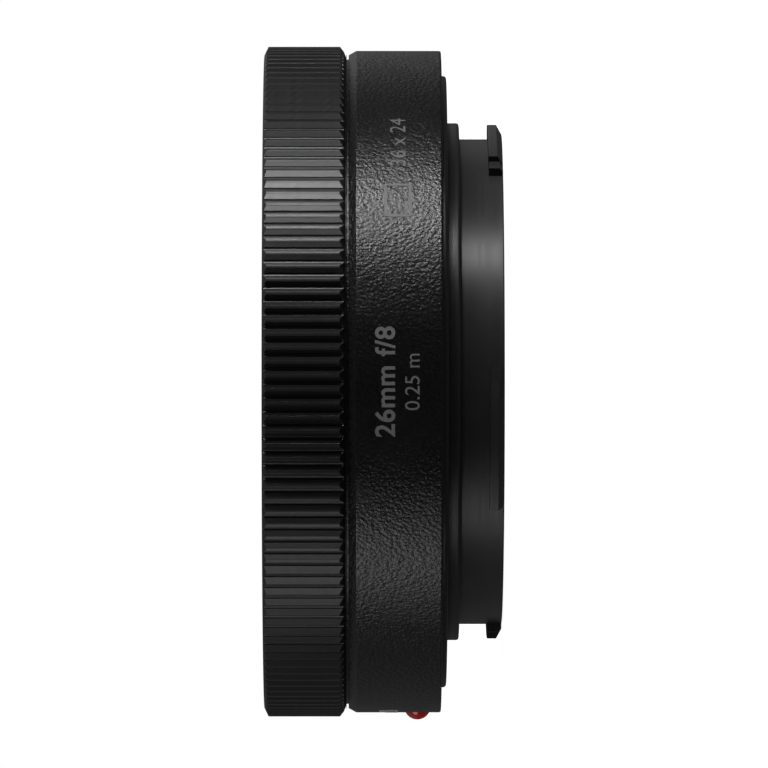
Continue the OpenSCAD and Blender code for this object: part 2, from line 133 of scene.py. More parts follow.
class LENS_PG_finish(PropertyGroup):
    satin: FloatVectorProperty(name="Satin black", description="Colour of the focus ring and face",
                               subtype="COLOR", default=(0.0105, 0.0105, 0.011), min=0, max=1)
    wrinkle: FloatVectorProperty(name="Wrinkle black", description="Colour of the barrel's paint",
                                 subtype="COLOR", default=(0.004, 0.004, 0.0042), min=0, max=1)
    mount: FloatVectorProperty(name="Mount black", description="Colour of the bayonet",
                               subtype="COLOR", default=(0.024, 0.024, 0.025), min=0, max=1)
    bead: FloatVectorProperty(name="Bead red", description="Colour of the index bead",
                              subtype="COLOR", default=(0.62, 0.008, 0.004), min=0, max=1)
    ink: FloatVectorProperty(name="Grey ink", description="Colour of the lens data on the barrel",
                             subtype="COLOR", default=(0.15, 0.15, 0.152), min=0, max=1)
    white: FloatVectorProperty(name="White ink", description="Colour of the distance scale",
                               subtype="COLOR", default=(0.72, 0.72, 0.70), min=0, max=1)
    grain: FloatProperty(name="Grain size", description="Width of a wrinkle in the barrel's paint",
                         default=0.24 * MM, unit="LENGTH", precision=5)
    stretch: FloatProperty(name="Grain stretch", description="Length of a wrinkle along the axis"
                           " over its width", default=1.2, min=1, max=3)
    grain_depth: FloatProperty(name="Grain depth", description="Height of the wrinkles",
                               default=0.036 * MM, unit="LENGTH", precision=6)


class LENS_PG_stage(PropertyGroup):
    distance: FloatProperty(name="Camera distance", description="Camera to the optical axis",
                            default=0.972, unit="LENGTH")
    field: FloatProperty(name="Field", description="Width seen at the optical axis",
                         default=77.34 * MM, unit="LENGTH", precision=5)
    key: FloatProperty(name="Key strip", description="Power of the brighter strip light",
                       default=15, subtype="POWER")
    fill: FloatProperty(name="Fill strip", description="Power of the weaker strip light",
                        default=3.8, subtype="POWER")


# ---- outlines and meshes -------------------------------------------------------------------


def rounded(corners, steps=4, support=0.05):
    """Points of a closed outline of corners (r, z) or (r, z, radius), in millimetres, with the
    corners rounded and a support point near both ends of each long straight stretch."""
    points = []
    count = len(corners)
    for i, corner in enumerate(corners):
        here = Vector(corner[:2])
        radius = corner[2] if len(corner) > 2 else 0
        to_last = Vector(corners[i - 1][:2]) - here
        to_next = Vector(corners[(i + 1) % count][:2]) - here
        if radius <= 0:
            points.append(here)
            continue
        angle = to_last.angle(to_next)
        reach = min(radius / math.tan(angle / 2), 0.45 * to_last.length, 0.45 * to_next.length)
        radius = reach * math.tan(angle / 2)
        middle = (to_last.normalized() + to_next.normalized()).normalized()
        centre = here + middle * (radius / math.sin(angle / 2))
        start = here + to_last.normalized() * reach - centre
        end = here + to_next.normalized() * reach - centre
        for k in range(steps + 1):
            points.append(centre + start.slerp(end, k / steps) * radius)
    out = []
    for i, here in enumerate(points):
        after = points[(i + 1) % len(points)]
        span = after - here
        out.append(here)
        if span.length > 3.5 * support:
            out += [here + span.normalized() * support, after - span.normalized() * support]
    return [(p.x, p.y) for p in out]


def arc(r_from, r_to, apex, radius, steps=24):
    """Points (r, z) of a spherical surface; a positive radius falls away from its apex."""
    points = []
    for k in range(steps + 1):
        r = r_from + (r_to - r_from) * k / steps
        points.append((r, apex - math.copysign(abs(radius) - math.sqrt(radius**2 - r * r), radius)))
    return points


def to_mesh(name, verts, faces, sharp=30):
    """Object at the origin from points in millimetres, smooth but for edges over an angle."""
    mesh = bpy.data.meshes.new(name)
    mesh.from_pydata([tuple(c * MM for c in v) for v in verts], [], faces)
    mesh.update()
    tidy_mesh(mesh)
    obj = bpy.data.objects.new(name, mesh)
    bpy.context.scene.collection.objects.link(obj)
    shade(obj, sharp)
    return obj


def tidy_mesh(mesh):
    """Merges doubles and turns the faces outwards."""
    bm = bmesh.new()
    bm.from_mesh(mesh)
    bmesh.ops.remove_doubles(bm, verts=bm.verts, dist=1e-7)
    bmesh.ops.recalc_face_normals(bm, faces=bm.faces)
    bm.to_mesh(mesh)
    bm.free()


def shade(obj, sharp=30):
    obj.data.shade_smooth()
    obj.data.set_sharp_from_angle(angle=math.radians(sharp))


def revolve(name, outline, steps, span=None, start=0.0, sharp=30):
    """Turns a closed outline of (r, z) points about the axis, all the way or over a span."""
    whole = span is None
    sides = steps if whole else max(2, round(steps * span / 360))
    rows = sides if whole else sides + 1
    count = len(outline)
    verts, faces, on_axis = [], [], {}
    index = []
    for i in range(rows):
        a = math.radians(start + (360 if whole else span) * i / sides)
        row = []
        for j, (r, z) in enumerate(outline):
            if r < 1e-6:
                if j not in on_axis:
                    on_axis[j] = len(verts)
                    verts.append((0, 0, z))
                row.append(on_axis[j])
            else:
                row.append(len(verts))
                verts.append((r * math.cos(a), r * math.sin(a), z))
        index.append(row)
    for i in range(sides):
        here, after = index[i], index[(i + 1) % rows]
        for j in range(count):
            k = (j + 1) % count
            face = []
            for v in (here[j], after[j], after[k], here[k]):
                if v not in face:
                    face.append(v)
            if len(face) > 2:
                faces.append(face)
    if not whole:
        faces += [index[0][::-1], index[-1]]
    return to_mesh(name, verts, faces, sharp)


def box_mesh(name, centre, size, turn):
    """Box turned about the axis, for cutting."""
    verts = []
    spin = Matrix.Rotation(math.radians(turn), 3, "Z")
    for x in (-0.5, 0.5):
        for y in (-0.5, 0.5):
            for z in (-0.5, 0.5):
                corner = Vector(centre) + Vector((x * size[0], y * size[1], z * size[2]))
                verts.append(tuple(spin @ corner))
    faces = [(0, 1, 3, 2), (4, 6, 7, 5), (0, 4, 5, 1), (2, 3, 7, 6), (0, 2, 6, 4), (1, 5, 7, 3)]
    return to_mesh(name, verts, faces)


def moved(obj, matrix):
    obj.data.transform(matrix)
    return obj


def at_radius(radius, turn, height=0.0):
    """Puts a piece made on the axis at a distance from it, then turns it round the axis."""
    return Matrix.Rotation(math.radians(turn), 4, "Z") @ Matrix.Translation(
        (radius * MM, 0, height * MM))


def join(name, *objs):
    """One object from several, in the first one's place."""
    bm = bmesh.new()
    for obj in objs:
        bm.from_mesh(obj.data)
    mesh = bpy.data.meshes.new(name)
    bm.to_mesh(mesh)
    bm.free()
    for obj in objs:
        bpy.data.objects.remove(obj)
    whole = bpy.data.objects.new(name, mesh)
    bpy.context.scene.collection.objects.link(whole)
    return whole


def baked(obj):
    """Turns the object and its modifiers into a plain mesh."""
    graph = bpy.context.evaluated_depsgraph_get()
    mesh = bpy.data.meshes.new_from_object(obj.evaluated_get(graph), depsgraph=graph)
    obj.modifiers.clear()
    obj.data = mesh
    return obj


def combined(obj, other, operation, sharp=30):
    """Boolean of two closed pieces; the other one is used up."""
    modifier = obj.modifiers.new("combine", "BOOLEAN")
    modifier.operation = operation
    modifier.solver = "EXACT"
    modifier.object = other
    baked(obj)
    bpy.data.objects.remove(other)
    tidy_mesh(obj.data)
    shade(obj, sharp)
    return obj


def finished(obj, material, body, *nodes, slot=None):
    """Gives a piece its finish and its body, and hides the CAD nodes that it stands for; the slot
    is not used.
    """
    obj.data.materials.clear()
    obj.data.materials.append(material)
    if nodes:
        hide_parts(*nodes)
    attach(obj, body)
    return obj


# ---- node trees ----------------------------------------------------------------------------


def add(tree, kind, inputs=None, **settings):
    """Adds a node; an input is a value, or a socket to link from."""
    node = tree.nodes.new(kind)
    for name, value in settings.items():
        setattr(node, name, value)
    for key, value in (inputs or {}).items():
        socket = node.inputs[key]
        if isinstance(value, bpy.types.NodeSocket):
            tree.links.new(value, socket)
        else:
            socket.default_value = value
    return node


def math_node(tree, operation, a, b=0.0, clamp=False):
    node = add(tree, "ShaderNodeMath", {0: a, 1: b}, operation=operation, use_clamp=clamp)
    return node.outputs[0]


def map_range(tree, value, low_in, high_in, low_out, high_out):
    return add(tree, "ShaderNodeMapRange", {
        "Value": value, "From Min": low_in, "From Max": high_in, "To Min": low_out,
        "To Max": high_out,
    }).outputs["Result"]


def copies_tree():
    """Geometry Nodes: copies of a piece spaced evenly round the axis, merged into one mesh."""
    name = "copies_round_the_axis"
    if name in bpy.data.node_groups:
        return bpy.data.node_groups[name]
    tree = bpy.data.node_groups.new(name, "GeometryNodeTree")
    tree.interface.new_socket("Geometry", in_out="INPUT", socket_type="NodeSocketGeometry")
    tree.interface.new_socket("Count", in_out="INPUT", socket_type="NodeSocketInt")
    tree.interface.new_socket("First Angle", in_out="INPUT", socket_type="NodeSocketFloat")
    tree.interface.new_socket("Merge Distance", in_out="INPUT", socket_type="NodeSocketFloat")
    tree.interface.new_socket("Material", in_out="INPUT", socket_type="NodeSocketMaterial")
    tree.interface.new_socket("Geometry", in_out="OUTPUT", socket_type="NodeSocketGeometry")
    given = tree.nodes.new("NodeGroupInput").outputs
    points = add(tree, "GeometryNodePoints", {"Count": given["Count"]})
    index = add(tree, "GeometryNodeInputIndex").outputs[0]
    turn = math_node(tree, "DIVIDE", math_node(tree, "MULTIPLY", index, TAU), given["Count"])
    turn = math_node(tree, "ADD", turn, given["First Angle"])
    spin = add(tree, "ShaderNodeCombineXYZ", {"Z": turn})
    copies = add(tree, "GeometryNodeInstanceOnPoints", {
        "Points": points.outputs[0], "Instance": given["Geometry"], "Rotation": spin.outputs[0]})
    real = add(tree, "GeometryNodeRealizeInstances", {"Geometry": copies.outputs[0]})
    merged = add(tree, "GeometryNodeMergeByDistance", {
        "Geometry": real.outputs[0], "Distance": given["Merge Distance"]})
    painted = add(tree, "GeometryNodeSetMaterial", {
        "Geometry": merged.outputs[0], "Material": given["Material"]})
    tree.links.new(painted.outputs[0], tree.nodes.new("NodeGroupOutput").inputs[0])
    return tree


def copied_round(obj, count, first_angle, material, merge=1e-6, sharp=30):
    """Runs the copies tree on a piece and keeps the plain mesh."""
    tree = copies_tree()
    modifier = obj.modifiers.new("copies", "NODES")
    modifier.node_group = tree
    values = {"Count": count, "First Angle": math.radians(first_angle),
              "Merge Distance": merge, "Material": material}
    for item in tree.interface.items_tree:
        if item.in_out == "INPUT" and item.name in values:
            modifier[item.identifier] = values[item.name]
    baked(obj)
    shade(obj, sharp)
    return obj


def new_group(name, inputs, outputs):
    """Shader node group with named float or vector sockets; returns tree and its input sockets."""
    tree = bpy.data.node_groups.new(name, "ShaderNodeTree")
    for label, kind, value in inputs:
        socket = tree.interface.new_socket(label, in_out="INPUT", socket_type="NodeSocket" + kind)
        socket.default_value = value
    for label, kind in outputs:
        tree.interface.new_socket(label, in_out="OUTPUT", socket_type="NodeSocket" + kind)
    return tree, tree.nodes.new("NodeGroupInput").outputs


def group_node(tree, builder, inputs):
    node = tree.nodes.new("ShaderNodeGroup")
    node.node_tree = builder()
    for key, value in inputs.items():
        if isinstance(value, bpy.types.NodeSocket):
            tree.links.new(value, node.inputs[key])
        else:
            node.inputs[key].default_value = value
    return node


def group_once(build):
    """Builds a shader group, named after its function, the first time that it is asked for."""
    def get():
        return bpy.data.node_groups.get(build.__name__) or build(build.__name__)
    return get


@group_once
def wrinkle_grain(name):
    """Wrinkle paint: rounded bumps. Size is a wrinkle's width in metres, and Stretch how many
    times longer it is along the axis."""
    tree, given = new_group(
        name, [("Size", "Float", 0.0003), ("Stretch", "Float", 1.2)],
        [("Height", "Float"), ("Patch", "Float")])
    place = add(tree, "ShaderNodeTexCoord").outputs["Object"]
    scale = math_node(tree, "DIVIDE", 1.0, given["Size"])
    apart = add(tree, "ShaderNodeSeparateXYZ", {0: place}).outputs
    longer = add(tree, "ShaderNodeCombineXYZ", {
        "X": apart["X"], "Y": apart["Y"],
        "Z": math_node(tree, "DIVIDE", apart["Z"], given["Stretch"])})
    cells = add(tree, "ShaderNodeVectorMath", {0: longer.outputs[0], "Scale": scale},
                operation="SCALE")
    bend = add(tree, "ShaderNodeTexNoise", {
        "Vector": cells.outputs[0], "Scale": 0.75, "Detail": 2.0, "Roughness": 0.6})
    shift = add(tree, "ShaderNodeVectorMath", {
        0: bend.outputs["Color"], 1: (0.5, 0.5, 0.5)}, operation="SUBTRACT")
    shift = add(tree, "ShaderNodeVectorMath", {
        0: shift.outputs[0], "Scale": 0.9}, operation="SCALE")
    warped = add(tree, "ShaderNodeVectorMath", {
        0: cells.outputs[0], 1: shift.outputs[0]}, operation="ADD")
    pebble = add(tree, "ShaderNodeTexVoronoi", {
        "Vector": warped.outputs[0], "Scale": 0.8, "Smoothness": 0.55, "Randomness": 1.0},
        feature="SMOOTH_F1")
    fine = add(tree, "ShaderNodeTexNoise", {
        "Vector": cells.outputs[0], "Scale": 2.3, "Detail": 3.0, "Roughness": 0.65})
    dome = math_node(tree, "SUBTRACT", 1.0, pebble.outputs["Distance"])
    low_part = math_node(tree, "MULTIPLY", fine.outputs["Fac"], 0.55)
    height = math_node(tree, "ADD", dome, low_part)
    patch = add(tree, "ShaderNodeTexNoise", {
        "Vector": place, "Scale": 260.0, "Detail": 3.0, "Roughness": 0.55})
    out = tree.nodes.new("NodeGroupOutput").inputs
    tree.links.new(height, out["Height"])
    tree.links.new(patch.outputs["Fac"], out["Patch"])
    return tree


@group_once
def turning_lines(name):
    """Fine rings that a lathe tool leaves, on walls and faces alike. Pitch is in metres."""
    tree, given = new_group(
        name, [("Pitch", "Float", 0.00006)], [("Height", "Float"), ("Streak", "Float")])
    place = add(tree, "ShaderNodeTexCoord").outputs["Object"]
    apart = add(tree, "ShaderNodeSeparateXYZ", {0: place})
    flat = add(tree, "ShaderNodeCombineXYZ", {"X": apart.outputs["X"], "Y": apart.outputs["Y"]})
    radius = add(tree, "ShaderNodeVectorMath", {0: flat.outputs[0]}, operation="LENGTH")
    along = math_node(tree, "ADD", apart.outputs["Z"], radius.outputs["Value"])
    along = math_node(tree, "DIVIDE", along, given["Pitch"])
    lines = add(tree, "ShaderNodeTexNoise", {"W": along, "Scale": 1.0, "Detail": 2.0},
                noise_dimensions="1D")
    wide = add(tree, "ShaderNodeTexNoise", {"W": along, "Scale": 0.13, "Detail": 1.0},
               noise_dimensions="1D")
    out = tree.nodes.new("NodeGroupOutput").inputs
    tree.links.new(lines.outputs["Fac"], out["Height"])
    tree.links.new(wide.outputs["Fac"], out["Streak"])
    return tree


@group_once
def dust_and_rubs(name):
    """Sparse specks of dust and small rubs. Amount is the share of cells that hold a speck."""
    tree, given = new_group(
        name, [("Amount", "Float", 0.04), ("Spacing", "Float", 0.0012)],
        [("Speck", "Float"), ("Rub", "Float")])
    place = add(tree, "ShaderNodeTexCoord").outputs["Object"]
    scale = math_node(tree, "DIVIDE", 1.0, given["Spacing"])
    cells = add(tree, "ShaderNodeVectorMath", {0: place, "Scale": scale}, operation="SCALE")
    cell = add(tree, "ShaderNodeTexVoronoi", {"Vector": cells.outputs[0], "Scale": 1.0})
    chance = add(tree, "ShaderNodeSeparateColor", {0: cell.outputs["Color"]}).outputs[0]
    chosen = math_node(tree, "LESS_THAN", chance, given["Amount"])
    near = map_range(tree, cell.outputs["Distance"], 0.03, 0.07, 1.0, 0.0)
    speck = math_node(tree, "MULTIPLY", chosen, near, clamp=True)
    rub = add(tree, "ShaderNodeTexNoise", {
        "Vector": place, "Scale": 90.0, "Detail": 5.0, "Roughness": 0.6})
    out = tree.nodes.new("NodeGroupOutput").inputs
    tree.links.new(speck, out["Speck"])
    tree.links.new(rub.outputs["Fac"], out["Rub"])
    return tree


@group_once
def lapped_flanks(name):
    """Turns the shading of the ribs' flanks, between two radii, towards the round of the ring."""
    tree, given = new_group(
        name, [("Bend", "Float", 0.8), ("Low", "Float", 0.0330), ("High", "Float", 0.0336)],
        [("Normal", "Vector")])
    place = add(tree, "ShaderNodeTexCoord").outputs
    apart = add(tree, "ShaderNodeSeparateXYZ", {0: place["Object"]}).outputs
    flat = add(tree, "ShaderNodeCombineXYZ", {"X": apart["X"], "Y": apart["Y"]}).outputs[0]
    radius = add(tree, "ShaderNodeVectorMath", {0: flat}, operation="LENGTH").outputs["Value"]
    outward = add(tree, "ShaderNodeVectorMath", {0: flat}, operation="NORMALIZE").outputs[0]
    lean = add(tree, "ShaderNodeSeparateXYZ", {0: place["Normal"]}).outputs["Z"]
    upright = math_node(tree, "LESS_THAN", math_node(tree, "ABSOLUTE", lean), 0.2)
    inside = math_node(tree, "MULTIPLY", math_node(tree, "GREATER_THAN", radius, given["Low"]),
                       math_node(tree, "LESS_THAN", radius, given["High"]))
    share = math_node(tree, "MULTIPLY", math_node(tree, "MULTIPLY", inside, upright),
                      given["Bend"])
    bent = add(tree, "ShaderNodeMix", {"Factor": share, 4: place["Normal"], 5: outward},
               data_type="VECTOR")
    world = add(tree, "ShaderNodeVectorTransform", {0: bent.outputs[1]}, vector_type="NORMAL",
                convert_from="OBJECT", convert_to="WORLD")
    unit = add(tree, "ShaderNodeVectorMath", {0: world.outputs[0]}, operation="NORMALIZE")
    tree.links.new(unit.outputs[0], tree.nodes.new("NodeGroupOutput").inputs["Normal"])
    return tree


def new_material(name):
    """Empty material with a Principled shader; returns the material, its tree and the shader."""
    material = bpy.data.materials.new(name + "_finish")
    material.use_nodes = True
    tree = material.node_tree
    shader = tree.nodes["Principled BSDF"]
    return material, tree, shader


def material_once(build):
    """Builds a material the first time that it is asked for."""
    def get():
        return bpy.data.materials.get(build.__name__ + "_finish") or build()
    return get


def mixed_colour(tree, factor, a, b):
    mix = add(tree, "ShaderNodeMix", {"Factor": factor}, data_type="RGBA")
    mix.inputs["A"].default_value = (*a, 1)
    mix.inputs["B"].default_value = (*b, 1)
    return mix.outputs["Result"]


def dark_metal(name, colour, roughness, pitch, line_depth, coat=0.0, metallic=0.0, dust=0.02,
               specular=0.5):
    """Black finished metal: turning lines, a little dust and uneven gloss."""
    material, tree, shader = new_material(name)
    lines = group_node(tree, turning_lines, {"Pitch": pitch})
    marks = group_node(tree, dust_and_rubs, {"Amount": dust})
    bright = tuple(min(1, c * 1.7 + 0.004) for c in colour)
    rubbed = mixed_colour(tree, map_range(tree, marks.outputs["Rub"], 0.35, 0.75, 0.0, 0.6),
                          colour, bright)
    dusty = add(tree, "ShaderNodeMix", {"Factor": marks.outputs["Speck"], "A": rubbed},
                data_type="RGBA")
    dusty.inputs["B"].default_value = (0.09, 0.088, 0.084, 1)
    tree.links.new(dusty.outputs["Result"], shader.inputs["Base Color"])
    uneven = map_range(tree, lines.outputs["Streak"], 0.3, 0.7, roughness - 0.03, roughness + 0.03)
    rough = math_node(tree, "ADD", uneven,
                      map_range(tree, marks.outputs["Rub"], 0.3, 0.7, -0.025, 0.025))
    tree.links.new(rough, shader.inputs["Roughness"])
    bump = add(tree, "ShaderNodeBump", {
        "Height": lines.outputs["Height"], "Strength": 1.0, "Distance": line_depth})
    tree.links.new(bump.outputs[0], shader.inputs["Normal"])
    shader.inputs["Metallic"].default_value = metallic
    shader.inputs["Specular IOR Level"].default_value = specular
    shader.inputs["Coat Weight"].default_value = coat
    shader.inputs["Coat Roughness"].default_value = 0.2
    return material


@material_once
def satin_black():
    finish = bpy.context.scene.lens_finish
    return dark_metal("satin_black", tuple(finish.satin), 0.36, 0.00007, 0.0000009)


@material_once
def ring_black():
    """Satin black as on the face, with ribs whose flanks shine with the round of the ring."""
    finish, shape = bpy.context.scene.lens_finish, bpy.context.scene.lens_shape
    material = dark_metal("ring_black", tuple(finish.satin), 0.34, 0.00007, 0.0000009)
    tree = material.node_tree
    valley = RING_R * MM - shape.rib_depth
    bend, clear_of_valley, clear_of_land = 0.92, 0.1 * MM, 0.01 * MM
    flanks = group_node(tree, lapped_flanks, {
        "Bend": bend, "Low": valley + clear_of_valley, "High": RING_R * MM - clear_of_land})
    tree.links.new(flanks.outputs[0], tree.nodes["Bump"].inputs["Normal"])
    return material


@material_once
def mount_black():
    finish = bpy.context.scene.lens_finish
    return dark_metal("mount_black", tuple(finish.mount), 0.35, 0.00009, 0.0000008, dust=0.012,
                      specular=0.4)


@material_once
def cell_black():
    return dark_metal("cell_black", (0.012, 0.012, 0.0125), 0.42, 0.00012, 0.000002)


@material_once
def trap_black():
    return dark_metal("trap_black", (0.006, 0.006, 0.0062), 0.62, 0.00018, 0.000004, dust=0.05)


@material_once
def dark_steel():
    return dark_metal("dark_steel", (0.05, 0.05, 0.052), 0.34, 0.00005, 0.000001, metallic=1.0,
                      dust=0.01)


@material_once
def bright_steel():
    return dark_metal("bright_steel", (0.5, 0.5, 0.51), 0.3, 0.00005, 0.000001, metallic=1.0)


@material_once
def machined_alloy():
    return dark_metal("machined_alloy", (0.55, 0.55, 0.56), 0.32, 0.00012, 0.000002, metallic=1.0)


@material_once
def rolled_brass():
    return dark_metal("rolled_brass", (0.68, 0.47, 0.18), 0.3, 0.0001, 0.000001, metallic=1.0)


@material_once
def slide_plastic():
    return dark_metal("slide_plastic", (0.78, 0.77, 0.73), 0.45, 0.0002, 0.000002)


@material_once
def wrinkle_black():
    finish = bpy.context.scene.lens_finish
    material, tree, shader = new_material("wrinkle_black")
    grain = group_node(tree, wrinkle_grain, {"Size": finish.grain, "Stretch": finish.stretch})
    marks = group_node(tree, dust_and_rubs, {"Amount": 0.02})
    colour = tuple(finish.wrinkle)
    # painted light and shade: the wrinkles' crests are coloured lighter and their hollows darker,
    # following the grain's height
    painted_lit_crest = tuple(c * 1.5 for c in colour)
    tone = mixed_colour(tree, map_range(tree, grain.outputs["Height"], 0.7, 1.3, 0.0, 1.0),
                        tuple(c * 0.7 for c in colour), painted_lit_crest)
    tree.links.new(tone, shader.inputs["Base Color"])
    rough = map_range(tree, grain.outputs["Patch"], 0.3, 0.7, 0.22, 0.30)
    rough = math_node(tree, "ADD", rough,
                      map_range(tree, marks.outputs["Rub"], 0.3, 0.7, -0.02, 0.03))
    tree.links.new(rough, shader.inputs["Roughness"])
    bump = add(tree, "ShaderNodeBump", {
        "Height": grain.outputs["Height"], "Strength": 1.0, "Distance": finish.grain_depth})
    tree.links.new(bump.outputs[0], shader.inputs["Normal"])
    shader.inputs["Specular IOR Level"].default_value = 0.5
    return material


@material_once
def red_enamel():
    finish = bpy.context.scene.lens_finish
    material, tree, shader = new_material("red_enamel")
    marks = group_node(tree, dust_and_rubs, {"Amount": 0.05})
    colour = tuple(finish.bead)
    tone = mixed_colour(tree, map_range(tree, marks.outputs["Rub"], 0.3, 0.7, 0.0, 0.5), colour,
                        tuple(c * 0.8 for c in colour))
    tree.links.new(tone, shader.inputs["Base Color"])
    tree.links.new(map_range(tree, marks.outputs["Rub"], 0.3, 0.7, 0.16, 0.26),
                   shader.inputs["Roughness"])
    shader.inputs["Coat Weight"].default_value = 0.3
    shader.inputs["Coat Roughness"].default_value = 0.1
    return material


def printed_ink(name, colour, roughness):
    """Pad-printed ink with slightly uneven cover."""
    material, tree, shader = new_material(name)
    marks = group_node(tree, dust_and_rubs, {"Amount": 0.03, "Spacing": 0.0008})
    tone = mixed_colour(tree, map_range(tree, marks.outputs["Rub"], 0.35, 0.7, 0.0, 1.0), colour,
                        tuple(c * 0.86 for c in colour))
    tree.links.new(tone, shader.inputs["Base Color"])
    grain = add(tree, "ShaderNodeTexNoise", {"Scale": 9000.0, "Detail": 2.0})
    tree.links.new(add(tree, "ShaderNodeTexCoord").outputs["Object"], grain.inputs["Vector"])
    tree.links.new(map_range(tree, grain.outputs["Fac"], 0.3, 0.7, roughness - 0.05,
                             roughness + 0.05), shader.inputs["Roughness"])
    return material


@material_once
def grey_ink():
    return printed_ink("grey_ink", tuple(bpy.context.scene.lens_finish.ink), 0.5)


@material_once
def white_ink():
    return printed_ink("white_ink", tuple(bpy.context.scene.lens_finish.white), 0.5)


def coated_glass(name, tint, index):
    """Clear glass with an anti-reflection coating's tint in its reflections."""
    material, tree, shader = new_material(name)
    marks = group_node(tree, dust_and_rubs, {"Amount": 0.012, "Spacing": 0.0009})
    tree.links.new(map_range(tree, marks.outputs["Rub"], 0.3, 0.8, 0.0, 0.012),
                   shader.inputs["Roughness"])
    shader.inputs["Base Color"].default_value = (0.97, 0.985, 0.98, 1)
    shader.inputs["IOR"].default_value = index
    shader.inputs["Transmission Weight"].default_value = 1
    shader.inputs["Specular Tint"].default_value = (*tint, 1)
    return material


# ---- printed marks -------------------------------------------------------------------------


def text_mesh(name, words, height, spread=1.0, thicken=0.0, depth=0.03):
    """Flat lettering of a capital height in millimetres, centred on its length, on its baseline."""
    curve = bpy.data.curves.new(name, "FONT")
    curve.body = words
    curve.size = height / 0.71 * MM
    curve.extrude = depth / 2 * MM
    curve.offset = thicken * MM
    curve.space_character = spread
    curve.resolution_u = 5
    curve.align_x = "CENTER"
    obj = bpy.data.objects.new(name, curve)
    bpy.context.scene.collection.objects.link(obj)
    graph = bpy.context.evaluated_depsgraph_get()
    mesh = bpy.data.meshes.new_from_object(obj.evaluated_get(graph), depsgraph=graph)
    bpy.data.objects.remove(obj)
    flat = bpy.data.objects.new(name, mesh)
    bpy.context.scene.collection.objects.link(flat)
    return flat


def bar_mesh(name, width, height, depth=0.03, centre=(0, 0)):
    """Small flat bar, centred on a given point."""
    bm = bmesh.new()
    bmesh.ops.create_cube(bm, size=1)
    bmesh.ops.scale(bm, vec=(width * MM, height * MM, depth * MM), verts=bm.verts)
    bmesh.ops.translate(bm, vec=(centre[0] * MM, centre[1] * MM, 0), verts=bm.verts)
    mesh = bpy.data.meshes.new(name)
    bm.to_mesh(mesh)
    bm.free()
    obj = bpy.data.objects.new(name, mesh)
    bpy.context.scene.collection.objects.link(obj)
    return obj


def loop_mesh(name, path, width, depth=0.03):
    """Flat ribbon of a width along a closed path of (x, y) points in millimetres."""
    count = len(path)
    verts, faces = [], []
    for i in range(count):
        here = Vector(path[i])
        run = Vector(path[(i + 1) % count]) - Vector(path[i - 1])
        side = Vector((-run.y, run.x)).normalized() * width / 2
        for edge, z in ((1, 1), (-1, 1), (-1, -1), (1, -1)):
            p = here + side * edge
            verts.append((p.x, p.y, z * depth / 2))
    for i in range(count):
        j = (i + 1) % count
        for k in range(4):
            m = (k + 1) % 4
            faces.append((4 * i + k, 4 * i + m, 4 * j + m, 4 * j + k))
    return to_mesh(name, verts, faces)


def infinity_mesh(name, width, line):
    """The infinity sign, as a lemniscate drawn with a ribbon, centred on its middle."""
    path = []
    for k in range(48):
        t = TAU * (k + 0.5) / 48
        d = 1 + math.sin(t) ** 2
        path.append((width / 2 * math.cos(t) / d, width / 2 * 1.25 * math.sin(t) * math.cos(t) / d))
    return loop_mesh(name, path, line)


def sliced(obj, reach, step=0.4):
    """Cuts a flat mark across its length so that it can bend."""
    bm = bmesh.new()
    bm.from_mesh(obj.data)
    count = int(reach / step)
    for k in range(-count, count + 1):
        everything = list(bm.verts) + list(bm.edges) + list(bm.faces)
        bmesh.ops.bisect_plane(bm, geom=everything, plane_co=(k * step * MM, 0, 0),
                               plane_no=(1, 0, 0))
    bm.to_mesh(obj.data)
    bm.free()
    return obj


def wrapped(obj, radius, angle, height):
    """Bends a flat mark round the barrel: its length along the turn, its top towards the front."""
    for v in obj.data.vertices:
        u, up, out = v.co
        a = math.radians(angle) + u / (radius * MM)
        r = radius * MM + out
        v.co = (r * math.cos(a), r * math.sin(a), height * MM + up)
    return obj


def face_height(r):
    """Height of the sloping face plate at a radius, in millimetres."""
    flat_rim = 0.25
    return LEAST_Z + (FACE_Z - LEAST_Z) * (r - LEAST_R) / (FACE_R - flat_rim - LEAST_R)


def laid(obj, radius, angle, height, slope=True):
    """Lays a flat mark on the front face, its top outwards, read from in front."""
    for v in obj.data.vertices:
        u, up, out = v.co
        r = radius * MM + up
        a = math.radians(angle) - u / (radius * MM)
        z = (face_height(r / MM) if slope else height) * MM + out
        v.co = (r * math.cos(a), r * math.sin(a), z)
    return obj


# ---- pieces --------------------------------------------------------------------------------


def rib_columns(shape):
    """Half a rib, from the middle of its land to the middle of its valley, as points (distance
    along the turn, depth): rounded edge of the land, straight flank, hollow of the valley."""
    half = math.pi * RING_R / shape.rib_count
    depth, edge, hollow = shape.rib_depth / MM, shape.rib_edge / MM, shape.rib_hollow / MM
    steep = math.radians(shape.rib_flank)
    rounds = edge + hollow
    land = (half - rounds * math.sin(steep)
            - (depth - rounds * (1 - math.cos(steep))) / math.tan(steep))
    points = [(land + edge * math.sin(t), edge * (1 - math.cos(t)))
              for t in (0, steep / 2, steep)]
    points += [(half - hollow * math.sin(t), depth - hollow * (1 - math.cos(t)))
               for t in (steep, steep / 2, 0)]
    return points


